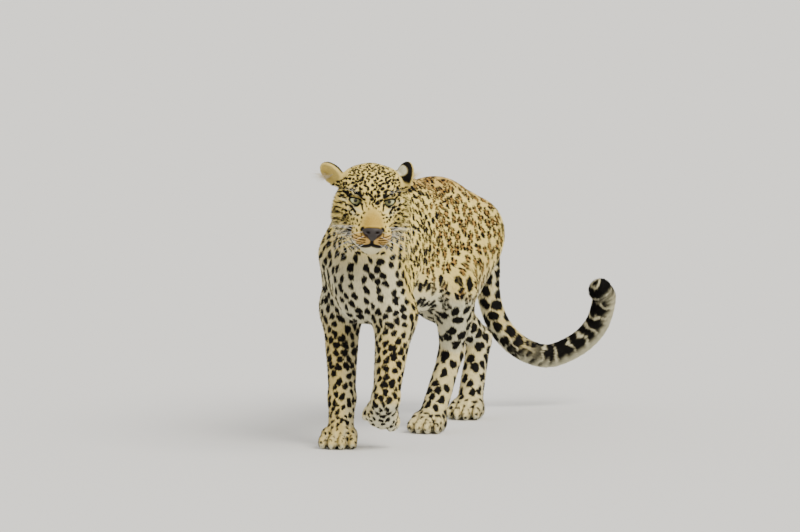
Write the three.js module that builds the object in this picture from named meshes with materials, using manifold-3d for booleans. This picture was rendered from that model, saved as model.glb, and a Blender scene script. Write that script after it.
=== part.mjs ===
// A leopard at life size, walking, with its left forepaw lifted and its head turned to its left.
// Millimetres, +Z up. The animal faces -Y, its left side is +X, and the floor is z = 0.
// The body is one smooth form, built of rounded muscles that melt into each other, and then
// parted by thin cuts into the pieces that a person would name.
import * as THREE from "three";
import { mergeVertices } from "three/addons/utils/BufferGeometryUtils.js";
import Module from "manifold-3d";

const wasm = await Module();
wasm.setup();

// Driving sizes.
const GAP = 0.3;
const SHIFT = [-53.4, -339.7, 0];

// How wide the soft creases are between neighbouring muscles.
const CREASE = { body: 30, limbRoot: 32, trunk: 46, shoulder: 34, forearm: 16, thigh: 40, shank: 18 };

// Values that only the meshing uses: a distance beyond any form, a value just inside the surface,
// and the step that a slope is measured over.
const OUTSIDE = 1e6;
const FILLED = 0.01;
const SLOPE_STEP = 0.5;

// Trunk: egg-shaped masses, and bars of muscle along the back.
const TRUNK = {
  ribs: { centre: [0, 150, 446], radii: [86, 230, 156] },
  chest: { centre: [0, -10, 414], radii: [78, 105, 124] },
  loin: { centre: [0, 410, 456], radii: [80, 236, 150] },
  rump: { centre: [0, 620, 436], radii: [56, 126, 91] },
  belly: { centre: [0, 330, 370], radii: [66, 225, 74] },
  withers: { from: [0, 20, 556], to: [0, 230, 552], radii: [54, 48] },
  spine: { from: [0, 180, 566], to: [0, 575, 522], radii: [44, 36] },
};

// Limb joints, from the trunk down. Three paws stand; the left forepaw is lifted and folded back.
const RIGHT_FORE = {
  blade: [-40, 78, 575],
  shoulder: [-60, -22, 452],
  elbow: [-84, 48, 320],
  wrist: [-69, 14, 112],
  ball: [-57, -24, 24],
  forward: [0.2, -0.98, 0],
  up: [0, 0, 1],
};
const LEFT_FORE = {
  blade: [40, 62, 580],
  shoulder: [60, -40, 458],
  elbow: [80, -22, 312],
  wrist: [76, -72, 122],
  ball: [52, -38, 84],
  forward: [-0.42, 0.72, -0.55],
  up: [-0.16, -0.66, -0.73],
};
const LEFT_HIND = {
  hip: [36, 622, 458],
  seat: [27, 684, 448],
  knee: [70, 378, 344],
  hock: [24, 474, 184],
  ball: [14, 364, 24],
  forward: [0, -1, 0],
  up: [0, 0, 1],
};
const RIGHT_HIND = {
  hip: [-36, 628, 458],
  seat: [-27, 690, 448],
  knee: [-64, 568, 312],
  hock: [-17, 760, 186],
  ball: [-12, 682, 24],
  forward: [0, -1, 0],
  up: [0, 0, 1],
};
const FLAT = [1, 0, 0];
const FORE_PAW = { width: 94, toes: 62, depth: 27 };
const HIND_PAW = { width: 88, toes: 64, depth: 26 };

// Neck and head. The head's own frame has its origin midway between the eyes, and -Y out of the nose.
const NECK = { from: [4, 6, 488], to: [76, -174, 572], radii: [88, 72] };
const HEAD = { origin: [136, -301, 603], yaw: 25, pitch: 16, roll: 2.7 };
const EYE = { centre: [38.5, -1, 0], radius: 15.5, lid: 3.2 };
const SKULL = [
  { centre: [0, 62, 4], radii: [64, 84, 55] },
  { centre: [0, 16, 17], radii: [54, 50, 31] },
  { centre: [34, 46, 20], radii: [38, 52, 34] },
  { centre: [50, 18, -18], radii: [30, 38, 30] },
  { centre: [44, 34, -54], radii: [38, 46, 46] },
  { centre: [0, 60, -50], radii: [64, 60, 56] },
];
const BRIDGE = { from: [0, -8, 2], to: [0, -68, -38], radii: [25, 20] };
const MUZZLE = { from: [0, -10, -32], to: [0, -58, -56], radii: [44, 32] };
const JAWS = {
  cheek: { centre: [20, -24, -34], radii: [32, 46, 32] },
  lip: { centre: [21, -64, -62], radii: [26, 27, 23] },
  jaw: { centre: [0, -18, -80], radii: [46, 56, 30] },
  chin: { centre: [0, -56, -94], radii: [23, 23, 18] },
};
const BROW = { centre: [34, -8, 20], radii: [20, 12, 7], turn: [0, 12, 20] };
const NOSE_PAD = { centre: [0, -84, -50], radii: [22, 11, 14] };
const NOSTRIL = { centre: [12, -94, -47], radii: [5, 8, 3.2], turn: [0, 0, 30] };

// The mouth: a cleft below the nose, a groove under each lip, and the corner drawn back.
const MOUTH = [
  { from: [0, -98, -62], to: [0, -93, -83], radii: [1.8, 2.2] },
  { from: [0, -92, -84], to: [22, -84, -88], radii: [2.6, 2.6] },
  { from: [22, -84, -88], to: [42, -40, -76], radii: [2.6, 2] },
];

// Each ear is a cup: its middle, the way it points and the way it opens, in the head's frame.
const RIGHT_EAR = { centre: [-90, 58, 36], point: [-0.7, 0.08, 0.7], open: [-0.62, -0.74, -0.2] };
const LEFT_EAR = { centre: [76, 62, 37], point: [0.25, 0.1, 0.96], open: [0.84, 0.5, -0.1] };
const EAR = { radii: [27, 17, 35], hollow: [22, 17, 29], offset: [0, -12, 3] };

// The tail's middle line, from inside the rump to the tip, and its radius along that line.
const TAIL_LINE = [
  [0, 690, 500],
  [-10, 780, 452],
  [-24, 840, 370],
  [-30, 862, 285],
  [-10, 884, 208],
  [30, 921, 154],
  [88, 964, 130],
  [150, 1006, 158],
  [192, 1027, 206],
  [212, 1026, 268],
  [208, 1012, 292],
];
const TAIL_RADIUS = { root: 34, middle: 28, tip: 30 };
const TAIL_STEPS = 36;

// Finishes, in the photo's colours.
const FUR = { color: 0xc49a5c, roughness: 0.85 };
const PALE_FUR = { color: 0xd9c7a0, roughness: 0.85 };
const BANDED_FUR = { color: 0x5c5347, roughness: 0.85 };
const LEATHER = { color: 0x2a1d19, roughness: 0.5 };
const IRIS = { color: 0xb9b06a, roughness: 0.15 };

// Fields. Each gives the signed distance to a surface, negative inside.

// An egg-shaped muscle, turned about its own middle by degrees.
function lump(centre, radii, turn = [0, 0, 0]) {
  const inverse = new THREE.Matrix4()
    .makeRotationFromEuler(
      new THREE.Euler(...turn.map(THREE.MathUtils.degToRad), "XYZ"),
    )
    .invert().elements;
  const [a, b, c] = radii;
  return (x, y, z) => {
    const dx = x - centre[0];
    const dy = y - centre[1];
    const dz = z - centre[2];
    const u = inverse[0] * dx + inverse[4] * dy + inverse[8] * dz;
    const v = inverse[1] * dx + inverse[5] * dy + inverse[9] * dz;
    const w = inverse[2] * dx + inverse[6] * dy + inverse[10] * dz;
    const near = Math.hypot(u / a, v / b, w / c);
    const far = Math.hypot(u / (a * a), v / (b * b), w / (c * c));
    return far < 1e-9 ? -Math.min(a, b, c) : (near * (near - 1)) / far;
  };
}

// A tapering limb between two joints. Its section is thinned by flat across the direction given.
function limb(from, to, startRadius, endRadius, across = [1, 0, 0], flat = 1) {
  const a = new THREE.Vector3(...from);
  const axis = new THREE.Vector3(...to).sub(a);
  const length2 = axis.lengthSq();
  const thin = new THREE.Vector3(...across).normalize();
  const stretch = 1 / flat - 1;
  return (x, y, z) => {
    let dx = x - a.x;
    let dy = y - a.y;
    let dz = z - a.z;
    const along = (dx * axis.x + dy * axis.y + dz * axis.z) / length2;
    const h = Math.min(1, Math.max(0, along));
    dx -= h * axis.x;
    dy -= h * axis.y;
    dz -= h * axis.z;
    const push = (dx * thin.x + dy * thin.y + dz * thin.z) * stretch;
    const distance = Math.hypot(
      dx + push * thin.x,
      dy + push * thin.y,
      dz + push * thin.z,
    );
    return (distance - startRadius - h * (endRadius - startRadius)) * flat;
  };
}

// Joins forms with a soft crease of the given width.
function fuse(width, ...fields) {
  return (x, y, z) => {
    let best = fields[0](x, y, z);
    for (let i = 1; i < fields.length; i++) {
      const next = fields[i](x, y, z);
      const h = Math.max(width - Math.abs(best - next), 0) / width;
      best = Math.min(best, next) - (h * h * width) / 4;
    }
    return best;
  };
}

// Takes a form out of a body, with a soft edge of the given width.
function carve(width, body, ...tools) {
  return (x, y, z) => {
    let best = body(x, y, z);
    for (const tool of tools) {
      const cut = -tool(x, y, z);
      const h = Math.max(width - Math.abs(best - cut), 0) / width;
      best = Math.max(best, cut) + (h * h * width) / 4;
    }
    return best;
  };
}

const mirrored = (field) => (x, y, z) => field(Math.abs(x), y, z);

// A field drawn in a local frame, moved to where the matrix puts that frame.
function placed(field, matrix) {
  const m = matrix.clone().invert().elements;
  return (x, y, z) =>
    field(
      m[0] * x + m[4] * y + m[8] * z + m[12],
      m[1] * x + m[5] * y + m[9] * z + m[13],
      m[2] * x + m[6] * y + m[10] * z + m[14],
    );
}

// The closed surface of a field on a grid of the given lines: one vertex in each cell that the
// surface crosses, slid onto the surface, and one four-sided face round each grid edge it crosses.
function surfaceOf(field, xs, ys, zs) {
  const [nx, ny, nz] = [xs.length, ys.length, zs.length];
  const at = (i, j, k) => (k * ny + j) * nx + i;
  const value = new Float64Array(nx * ny * nz);
  for (let k = 0; k < nz; k++)
    for (let j = 0; j < ny; j++)
      for (let i = 0; i < nx; i++) {
        const rim =
          i === 0 || j === 0 || k === 0 || i === nx - 1 || j === ny - 1 || k === nz - 1;
        value[at(i, j, k)] = rim ? OUTSIDE : field(xs[i], ys[j], zs[k]);
      }
  const lines = [xs, ys, zs];
  const steps = [1, nx, nx * ny];
  untangle(value, steps);
  const vertexOf = new Int32Array(nx * ny * nz).fill(-1);
  const points = [];
  for (let k = 0; k < nz - 1; k++)
    for (let j = 0; j < ny - 1; j++)
      for (let i = 0; i < nx - 1; i++) {
        const cell = [i, j, k];
        const sum = [0, 0, 0];
        let crossings = 0;
        for (let axis = 0; axis < 3; axis++)
          for (let corner = 0; corner < 4; corner++) {
            const [b, c] = [(axis + 1) % 3, (axis + 2) % 3];
            const start = [...cell];
            start[b] += corner & 1;
            start[c] += corner >> 1;
            const from = value[at(...start)];
            const to = value[at(...start) + steps[axis]];
            if (from < 0 === to < 0) continue;
            const share = from / (from - to);
            const low = lines[axis][start[axis]];
            const high = lines[axis][start[axis] + 1];
            sum[axis] += low + share * (high - low);
            sum[b] += lines[b][start[b]];
            sum[c] += lines[c][start[c]];
            crossings++;
          }
        if (!crossings) continue;
        vertexOf[at(i, j, k)] = points.length / 3;
        points.push(...slidOnto(field, sum.map((s) => s / crossings), cell, lines));
      }
  const faces = [];
  for (let k = 0; k < nz - 1; k++)
    for (let j = 0; j < ny - 1; j++)
      for (let i = 0; i < nx - 1; i++)
        for (let axis = 0; axis < 3; axis++) {
          const here = at(i, j, k);
          const inside = value[here] < 0;
          if (inside === value[here + steps[axis]] < 0) continue;
          const [b, c] = [steps[(axis + 1) % 3], steps[(axis + 2) % 3]];
          const ring = [here - b - c, here - c, here, here - b].map((q) => vertexOf[q]);
          if (!inside) ring.reverse();
          faces.push(...split(points, ring));
        }
  const geometry = new THREE.BufferGeometry();
  geometry.setAttribute("position", new THREE.Float32BufferAttribute(points, 3));
  geometry.setIndex(faces);
  return geometry;
}

// Where inside meets inside only across a face's diagonal, the nearer outside corner is filled,
// so that no edge of the surface is shared by more than two faces.
function untangle(value, steps) {
  let tangled = true;
  while (tangled) {
    tangled = false;
    for (let p = 0; p < value.length - steps[1] - steps[2]; p++)
      for (let axis = 0; axis < 3; axis++) {
        const [b, c] = [steps[axis], steps[(axis + 1) % 3]];
        const ring = [p, p + b, p + b + c, p + c];
        const inside = ring.map((q) => value[q] < 0);
        if (inside[0] !== inside[2] || inside[1] !== inside[3] || inside[0] === inside[1]) continue;
        const [q, r] = inside[0] ? [ring[1], ring[3]] : [ring[0], ring[2]];
        value[value[q] < value[r] ? q : r] = -FILLED;
        tangled = true;
      }
  }
}

// Slides a point along the field's slope onto the surface, no further than its own grid cell.
function slidOnto(field, point, cell, lines) {
  const e = SLOPE_STEP;
  const [x, y, z] = point;
  const value = field(x, y, z);
  const slope = [
    (field(x + e, y, z) - value) / e,
    (field(x, y + e, z) - value) / e,
    (field(x, y, z + e) - value) / e,
  ];
  const size2 = Math.max(0.25, slope[0] ** 2 + slope[1] ** 2 + slope[2] ** 2);
  return point.map((p, axis) => {
    const low = lines[axis][cell[axis]];
    const high = lines[axis][cell[axis] + 1];
    return Math.min(high, Math.max(low, p - (value * slope[axis]) / size2));
  });
}

// A four-sided face as two triangles, along its shorter diagonal.
function split(points, [a, b, c, d]) {
  const apart = (p, q) =>
    Math.hypot(
      points[3 * p] - points[3 * q],
      points[3 * p + 1] - points[3 * q + 1],
      points[3 * p + 2] - points[3 * q + 2],
    );
  return apart(a, c) < apart(b, d) ? [a, b, c, a, c, d] : [a, b, d, b, c, d];
}

// Grid lines from low to high, no further apart than the step.
function evenly(low, high, step) {
  const count = Math.ceil((high - low) / step);
  return Array.from({ length: count + 1 }, (_, i) => low + ((high - low) * i) / count);
}

// Grid lines in stretches, each from its own start with its own step up to the next one's start.
function stretches(...parts) {
  const lines = parts
    .slice(1)
    .flatMap(([end], i) => evenly(parts[i][0], end, parts[i][1]).slice(0, -1));
  return [...lines, parts.at(-1)[0]];
}

// Solids.
function solidOf(geometry) {
  const mesh = new wasm.Mesh({
    numProp: 3,
    vertProperties: new Float32Array(geometry.getAttribute("position").array),
    triVerts: new Uint32Array(geometry.index.array),
  });
  return new wasm.Manifold(mesh);
}

// The solid's largest closed surface.
function mainBody(solid) {
  return solid.decompose().reduce((a, b) => (b.volume() > a.volume() ? b : a));
}

function geometryOf(solid) {
  const mesh = solid.getMesh();
  const geometry = new THREE.BufferGeometry();
  geometry.setAttribute(
    "position",
    new THREE.Float32BufferAttribute(mesh.vertProperties, mesh.numProp),
  );
  geometry.setIndex(new THREE.Uint32BufferAttribute(mesh.triVerts, 1));
  return geometry;
}

// Trunk, neck and legs.
const egg = ({ centre, radii, turn }) => lump(centre, radii, turn);
const bar = ({ from, to, radii }) => limb(from, to, ...radii);

function trunk() {
  const { ribs, chest, loin, rump, belly, withers, spine } = TRUNK;
  const masses = [ribs, chest, loin, rump, belly].map(egg);
  return fuse(CREASE.trunk, ...masses, bar(withers), bar(spine));
}

// A paw about its ball: the pad, four toes side by side, and their knuckles.
function paw({ ball, forward, up }, { width, toes, depth }) {
  const front = new THREE.Vector3(...forward).normalize();
  const top = new THREE.Vector3(...up).projectOnPlane(front).normalize();
  const across = new THREE.Vector3().crossVectors(front, top);
  const frame = new THREE.Matrix4().makeBasis(across, front, top).setPosition(...ball);
  const sole = [width * 0.4, toes * 0.55, depth * 0.8];
  const parts = [
    lump([0, 0, 2], [width * 0.42, toes * 0.62, depth]),
    lump([0, -toes * 0.1, -depth * 0.28], sole),
  ];
  for (let i = 0; i < 4; i++) {
    const place = i - 1.5;
    const sideways = place * width * 0.24;
    const reach = toes * (Math.abs(place) < 1 ? 0.68 : 0.5);
    const tip = [width * 0.132, toes * 0.36, depth * 0.74];
    const knuckle = [width * 0.12, toes * 0.32, depth * 0.62];
    parts.push(
      lump([sideways, reach, -depth * 0.3], tip, [0, 0, -place * 7]),
      lump([sideways * 0.95, reach * 0.5, depth * 0.28], knuckle),
    );
  }
  return placed(fuse(8, ...parts), frame);
}

function foreleg(leg) {
  const { blade, shoulder, elbow, wrist, ball } = leg;
  const triceps = [blade[0] * 1.2, blade[1] + 40, blade[2] - 110];
  const point = [elbow[0], elbow[1] + 14, elbow[2] + 8];
  const upper = fuse(
    CREASE.shoulder,
    limb(blade, shoulder, 44, 50, FLAT, 0.7),
    limb(triceps, elbow, 56, 42, FLAT, 0.7),
    limb(shoulder, elbow, 44, 44),
  );
  const lower = fuse(
    CREASE.forearm,
    limb(elbow, wrist, 46, 31),
    lump(point, [30, 30, 34]),
    limb(wrist, ball, 32, 30),
    paw(leg, FORE_PAW),
  );
  return fuse(CREASE.body, upper, lower);
}

function hindleg(leg) {
  const { hip, seat, knee, hock, ball } = leg;
  const calf = hock.map((h, i) => h + (knee[i] - h) * 0.6);
  calf[1] += 20;
  const heel = [hock[0], hock[1] + 14, hock[2] + 6];
  const upper = fuse(
    CREASE.thigh,
    limb(hip, knee, 84, 56, FLAT, 0.6),
    limb(seat, calf, 58, 34, FLAT, 0.7),
  );
  const lower = fuse(
    CREASE.shank,
    limb(knee, hock, 52, 28),
    limb(calf, heel, 36, 15),
    limb(heel, ball, 22, 25),
    limb(hock, ball, 27, 29),
    paw(leg, HIND_PAW),
  );
  return fuse(CREASE.shoulder, upper, lower);
}

function tail() {
  const line = new THREE.CatmullRomCurve3(
    TAIL_LINE.map((p) => new THREE.Vector3(...p)),
    false,
    "catmullrom",
    0.5,
  );
  const points = line.getPoints(TAIL_STEPS).map((p) => p.toArray());
  const { root, middle, tip } = TAIL_RADIUS;
  const radius = (i) => {
    const t = i / TAIL_STEPS;
    const swell = THREE.MathUtils.lerp(middle, tip, t);
    return THREE.MathUtils.lerp(root, swell, Math.min(1, t * 3));
  };
  const links = points
    .slice(1)
    .map((point, i) => limb(points[i], point, radius(i), radius(i + 1)));
  return (x, y, z) => links.reduce((best, link) => Math.min(best, link(x, y, z)), OUTSIDE);
}

// Head. Both sides are alike but for the ears, so the forms are those of the left half.
function headFrame() {
  const { origin, yaw, pitch, roll } = HEAD;
  const turn = new THREE.Matrix4().makeRotationZ(THREE.MathUtils.degToRad(yaw));
  const nod = new THREE.Matrix4().makeRotationX(THREE.MathUtils.degToRad(pitch));
  const lean = new THREE.Matrix4().makeRotationY(THREE.MathUtils.degToRad(roll));
  return turn.multiply(nod).multiply(lean).setPosition(...origin);
}

function skull() {
  const { cheek, lip, jaw, chin } = JAWS;
  const snout = [bar(BRIDGE), bar(MUZZLE), egg(cheek), egg(lip), egg(jaw), egg(chin)];
  return fuse(18, fuse(20, ...SKULL.map(egg)), fuse(14, ...snout));
}

// The eyelids: a cover over the eyeball, cut open in a slanting almond, in a shallow socket.
function eyelids() {
  const [x, y, z] = EYE.centre;
  const size = EYE.radius + EYE.lid;
  const socket = lump([x - 2, y - 16, z], [19, 9, 11], [0, 0, 14]);
  const cover = lump([x, y, z], [size, size, size]);
  const opening = lump([x - 1, y - 20, z - 0.5], [16, 15, 8.4], [0, 14, 12]);
  return { socket, cover, opening };
}

function head() {
  const { socket, cover, opening } = eyelids();
  const lidded = fuse(7, carve(8, skull(), socket), cover, egg(BROW));
  const nosed = fuse(5, carve(3, lidded, opening), egg(NOSE_PAD));
  const mouth = fuse(2, ...MOUTH.map(bar));
  return mirrored(carve(4, nosed, mouth, egg(NOSTRIL)));
}

// An ear's own frame: -Y out of the cup and Z to its point.
function earFrame({ centre, point, open }) {
  const top = new THREE.Vector3(...point).normalize();
  const back = new THREE.Vector3(...open).projectOnPlane(top).normalize().negate();
  const across = new THREE.Vector3().crossVectors(back, top);
  return new THREE.Matrix4().makeBasis(across, back, top).setPosition(...centre);
}

function ear(place) {
  const cup = carve(3, lump([0, 0, 0], EAR.radii), lump(EAR.offset, EAR.hollow));
  return placed(cup, earFrame(place));
}

// A field that is only worked out near its form. Further off it is far enough not to be felt.
function near(field, centre, radius) {
  const margin = 60;
  return (x, y, z) => {
    const d = Math.hypot(x - centre[0], y - centre[1], z - centre[2]) - radius;
    return d > margin ? d : field(x, y, z);
  };
}

// The whole animal. Each limb melts into the trunk, and never into another limb.
function animal() {
  const face = fuse(9, head(), ear(RIGHT_EAR), ear(LEFT_EAR));
  const core = fuse(
    CREASE.body,
    trunk(),
    bar(NECK),
    near(placed(face, headFrame()), HEAD.origin, 190),
  );
  const limbs = [
    near(foreleg(RIGHT_FORE), RIGHT_FORE.elbow, 340),
    near(foreleg(LEFT_FORE), LEFT_FORE.elbow, 330),
    near(hindleg(RIGHT_HIND), RIGHT_HIND.knee, 340),
    near(hindleg(LEFT_HIND), LEFT_HIND.knee, 390),
    near(tail(), TAIL_LINE[5], 440),
  ];
  const width = CREASE.limbRoot;
  return (x, y, z) => {
    const base = core(x, y, z);
    let best = base;
    for (const limbField of limbs) {
      const next = limbField(x, y, z);
      const h = Math.max(width - Math.abs(base - next), 0) / width;
      best = Math.min(best, Math.min(base, next) - (h * h * width) / 4);
    }
    return best;
  };
}

// Parting. A piece is what lies in a box, in a frame of its own, less the boxes of smaller pieces.
function boxSolid(low, high, grow = 0) {
  const size = high.map((h, i) => h - low[i] + 2 * grow);
  const box = new THREE.BoxGeometry(...size);
  box.translate(...high.map((h, i) => (h + low[i]) / 2));
  box.deleteAttribute("normal");
  box.deleteAttribute("uv");
  return solidOf(mergeVertices(box));
}

const world = new THREE.Matrix4();
const headPlace = headFrame();
const earPlaces = {
  right: headPlace.clone().multiply(earFrame(RIGHT_EAR)),
  left: headPlace.clone().multiply(earFrame(LEFT_EAR)),
};
const earBox = { low: [-34, -24, -16], high: [34, 24, 44] };

// Every piece of the flesh: its box, the steps of its grid along each axis, the pieces that are
// cut out of it, and its finish. The tail is parted across its line, and the torso is what is left.
const EARS = ["ear_right", "ear_left"];
const PIECES = [
  { name: "ear_right", frame: earPlaces.right, ...earBox, step: [7, 6, 7.5] },
  { name: "ear_left", frame: earPlaces.left, ...earBox, step: [7, 6, 7.5] },
  {
    name: "nose",
    frame: headPlace,
    low: [-25, -112, -66],
    high: [25, -86, -37],
    step: [6, 6, 6],
    look: LEATHER,
  },
  {
    name: "head",
    frame: headPlace,
    low: [-125, -130, -125],
    high: [125, 92, 110],
    grid: [
      stretches([-118, 11], [-62, 5.4], [-18, 7], [18, 5.4], [62, 11], [118]),
      stretches([-118, 7], [-60, 9], [-26, 6], [12, 16], [112]),
      stretches([-126, 10], [-102, 6.4], [-34, 9], [-16, 5.2], [20, 13], [98]),
    ],
    without: [...EARS, "nose"],
  },
  {
    name: "neck",
    low: [-140, -400, 440],
    high: [200, -72, 760],
    step: [28, 28, 28],
    without: ["head", ...EARS],
  },
  {
    name: "right_forepaw",
    low: [-150, -140, 0],
    high: [0, 80, 84],
    step: [12, 13, 13],
    look: PALE_FUR,
  },
  {
    name: "left_forepaw",
    low: [2, -140, 10],
    high: [150, 80, 100],
    step: [12, 12, 12],
    look: PALE_FUR,
  },
  {
    name: "right_foreleg",
    low: [-170, -160, 84],
    high: [-12, 150, 276],
    step: [17, 17, 30],
    without: ["right_forepaw"],
  },
  {
    name: "left_foreleg",
    low: [14, -160, 100],
    high: [170, 120, 276],
    step: [17, 17, 30],
    without: ["left_forepaw"],
  },
  {
    name: "left_hind_paw",
    low: [-60, 260, 0],
    high: [110, 440, 70],
    step: [12, 13, 13],
    look: PALE_FUR,
  },
  {
    name: "right_hind_paw",
    low: [-110, 600, 0],
    high: [60, 790, 70],
    step: [12, 13, 13],
    look: PALE_FUR,
  },
  {
    name: "left_hind_leg",
    low: [-34, 260, 70],
    high: [170, 590, 276],
    step: [18, 19, 29],
    without: ["left_hind_paw"],
  },
  {
    name: "right_hind_leg",
    low: [-170, 470, 70],
    high: [40, 826, 276],
    step: [18, 19, 29],
    without: ["right_hind_paw"],
  },
  {
    name: "tail_tip",
    low: [119, 900, 60],
    high: [300, 1120, 400],
    step: [18, 18, 18],
    look: BANDED_FUR,
  },
  {
    name: "tail_middle",
    low: [-80, 834, 60],
    high: [119, 1120, 262],
    step: [17, 17, 17],
    without: ["tail_tip"],
  },
  {
    name: "tail_root",
    low: [-90, 826, 262],
    high: [60, 960, 400],
    step: [17, 17, 17],
    without: ["tail_middle"],
  },
];
const TORSO = {
  name: "torso",
  low: [-200, -200, 100],
  high: [250, 1000, 720],
  step: [29, 37, 29],
  without: PIECES.map(({ name }) => name),
};

const leopard = new THREE.Group();
const field = animal();
const cutters = new Map();

function materialOf({ color, roughness }) {
  return new THREE.MeshStandardMaterial({ color, roughness, metalness: 0 });
}

function addPiece({ name, frame = world, low, high, step, grid, without = [], look = FUR }) {
  const axes = grid ?? step.map((s, i) => evenly(low[i] - s, high[i] + s, s));
  const inverse = frame.clone().invert();
  const m = frame.elements;
  const local = (x, y, z) =>
    field(
      m[0] * x + m[4] * y + m[8] * z + m[12],
      m[1] * x + m[5] * y + m[9] * z + m[13],
      m[2] * x + m[6] * y + m[10] * z + m[14],
    );
  let solid = solidOf(surfaceOf(local, ...axes)).intersect(boxSolid(low, high));
  for (const other of without)
    solid = solid.subtract(cutters.get(other).transform(inverse.elements));
  cutters.set(name, boxSolid(low, high, GAP).transform(frame.elements));
  if (name === "head") solid = withEyes(solid);
  const mesh = new THREE.Mesh(geometryOf(mainBody(solid)), materialOf(look));
  mesh.name = name;
  mesh.applyMatrix4(frame);
  leopard.add(mesh);
}

// Sets the two eyeballs in the head, each in a hollow that clears it by the gap.
function withEyes(solid) {
  for (const [name, side] of [["eye_right", -1], ["eye_left", 1]]) {
    const ball = mergedSphere(EYE.radius);
    const hollow = mergedSphere(EYE.radius + GAP);
    const [x, y, z] = [EYE.centre[0] * side, EYE.centre[1], EYE.centre[2]];
    ball.translate(x, y, z);
    hollow.translate(x, y, z);
    solid = solid.subtract(solidOf(hollow));
    const eye = new THREE.Mesh(ball, materialOf(IRIS));
    eye.name = name;
    eye.applyMatrix4(headPlace);
    leopard.add(eye);
  }
  return solid;
}

function mergedSphere(radius) {
  const sphere = new THREE.SphereGeometry(radius, 16, 8);
  sphere.rotateX(Math.PI / 2);
  sphere.deleteAttribute("normal");
  sphere.deleteAttribute("uv");
  return mergeVertices(sphere, 1e-4);
}

for (const piece of [...PIECES, TORSO]) addPiece(piece);

leopard.position.set(...SHIFT);
export default leopard;
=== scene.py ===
"""A leopard at life size, walking towards the camera, dressed with skin, coat, eyes and whiskers.

Metres, +Z up. The animal faces -Y and its left side is +X. Its body is one smooth form made of
rounded muscles, the same ones as in the solids. The skin lies inside that form by the coat's
depth, and the coat is made of small flat tufts that lie along the body out to that form.
"""

from __future__ import annotations

import logging
import math
from dataclasses import dataclass, field
from enum import Enum
from typing import Callable, Sequence

import bpy
import numpy as np
from mathutils import Matrix

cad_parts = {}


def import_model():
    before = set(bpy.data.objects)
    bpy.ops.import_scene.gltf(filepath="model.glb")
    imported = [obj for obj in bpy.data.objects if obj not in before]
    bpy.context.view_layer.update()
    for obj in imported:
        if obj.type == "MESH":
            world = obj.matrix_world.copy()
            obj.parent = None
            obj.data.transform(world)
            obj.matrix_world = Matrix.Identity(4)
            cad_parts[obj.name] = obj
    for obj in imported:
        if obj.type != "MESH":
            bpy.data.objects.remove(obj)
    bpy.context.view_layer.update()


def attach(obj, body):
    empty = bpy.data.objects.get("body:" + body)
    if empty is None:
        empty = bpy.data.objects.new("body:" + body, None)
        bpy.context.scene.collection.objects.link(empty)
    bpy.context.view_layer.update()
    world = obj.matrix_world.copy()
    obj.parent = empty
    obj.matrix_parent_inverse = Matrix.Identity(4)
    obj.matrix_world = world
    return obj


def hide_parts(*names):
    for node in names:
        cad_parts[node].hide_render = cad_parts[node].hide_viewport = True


log = logging.getLogger("leopard")

Array = np.ndarray
Vec = tuple[float, float, float]
Field = Callable[[Array], Array]

ROOT_BODY = "root"
SEED = 20
SHIFT = (-0.0534, -0.3397, 0.0)
TOE_REACH = 0.05
ZONE_BLEND = 0.014
MOST_TRIES = 60000
COAT_COLOUR = "coat"
COAT_SLOT = "coat"
EYE_SLOT = "eye"
NOSE_SLOT = "nose_leather"
BAKE_MAP = "OFBake"
EYE_MAP = "EyeMap"


# Forms


def unit(v: Array) -> Array:
    """Scales each row to length 1.

    Args:
        v: Vectors, one in each row.

    Returns:
        The same directions with length 1.
    """
    return v / np.maximum(np.linalg.norm(v, axis=-1, keepdims=True), 1e-9)


def smooth(low: float, high: float, x: Array) -> Array:
    """Rises smoothly from 0 at low to 1 at high.

    Args:
        low: Where the rise starts.
        high: Where it ends. It may be below low, for a fall.
        x: The values.

    Returns:
        The step's height for each value.
    """
    t = np.clip((x - low) / (high - low), 0.0, 1.0)
    return t * t * (3.0 - 2.0 * t)


def turned(degrees: Vec) -> Array:
    """The rotation matrix about X, then Y, then Z of the turned frame.

    Args:
        degrees: The three angles.

    Returns:
        A 3 by 3 matrix whose columns are the turned axes.
    """
    a, b, c = (math.radians(d) for d in degrees)
    rx = np.array([[1, 0, 0], [0, math.cos(a), -math.sin(a)], [0, math.sin(a), math.cos(a)]])
    ry = np.array([[math.cos(b), 0, math.sin(b)], [0, 1, 0], [-math.sin(b), 0, math.cos(b)]])
    rz = np.array([[math.cos(c), -math.sin(c), 0], [math.sin(c), math.cos(c), 0], [0, 0, 1]])
    return rx @ ry @ rz


@dataclass(frozen=True)
class Place:
    """A frame of its own for a part of the body: axes in the columns, and an origin."""

    axes: Array
    origin: Array

    def local(self, p: Array) -> Array:
        """Brings points of the animal's frame into this one."""
        return (p - self.origin) @ self.axes

    def world(self, p: Array) -> Array:
        """Brings points of this frame into the animal's."""
        return p @ self.axes.T + self.origin

    def turn(self, v: Array) -> Array:
        """Brings directions of this frame into the animal's."""
        return v @ self.axes.T


@dataclass(frozen=True)
class Lump:
    """An egg-shaped muscle, turned about its own middle."""

    centre: Vec
    radii: Vec
    turn: Vec = (0.0, 0.0, 0.0)

    def __call__(self, p: Array) -> Array:
        """Distance: how far the point is beyond the egg, in its radii, over the slope of that.

        Args:
            p: Points, one in each row.

        Returns:
            Signed distances, negative inside.
        """
        d = (p - np.array(self.centre)) @ turned(self.turn)
        r = np.array(self.radii)
        near = np.linalg.norm(d / r, axis=1)
        far = np.maximum(np.linalg.norm(d / (r * r), axis=1), 1e-6)
        return near * (near - 1.0) / far


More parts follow.
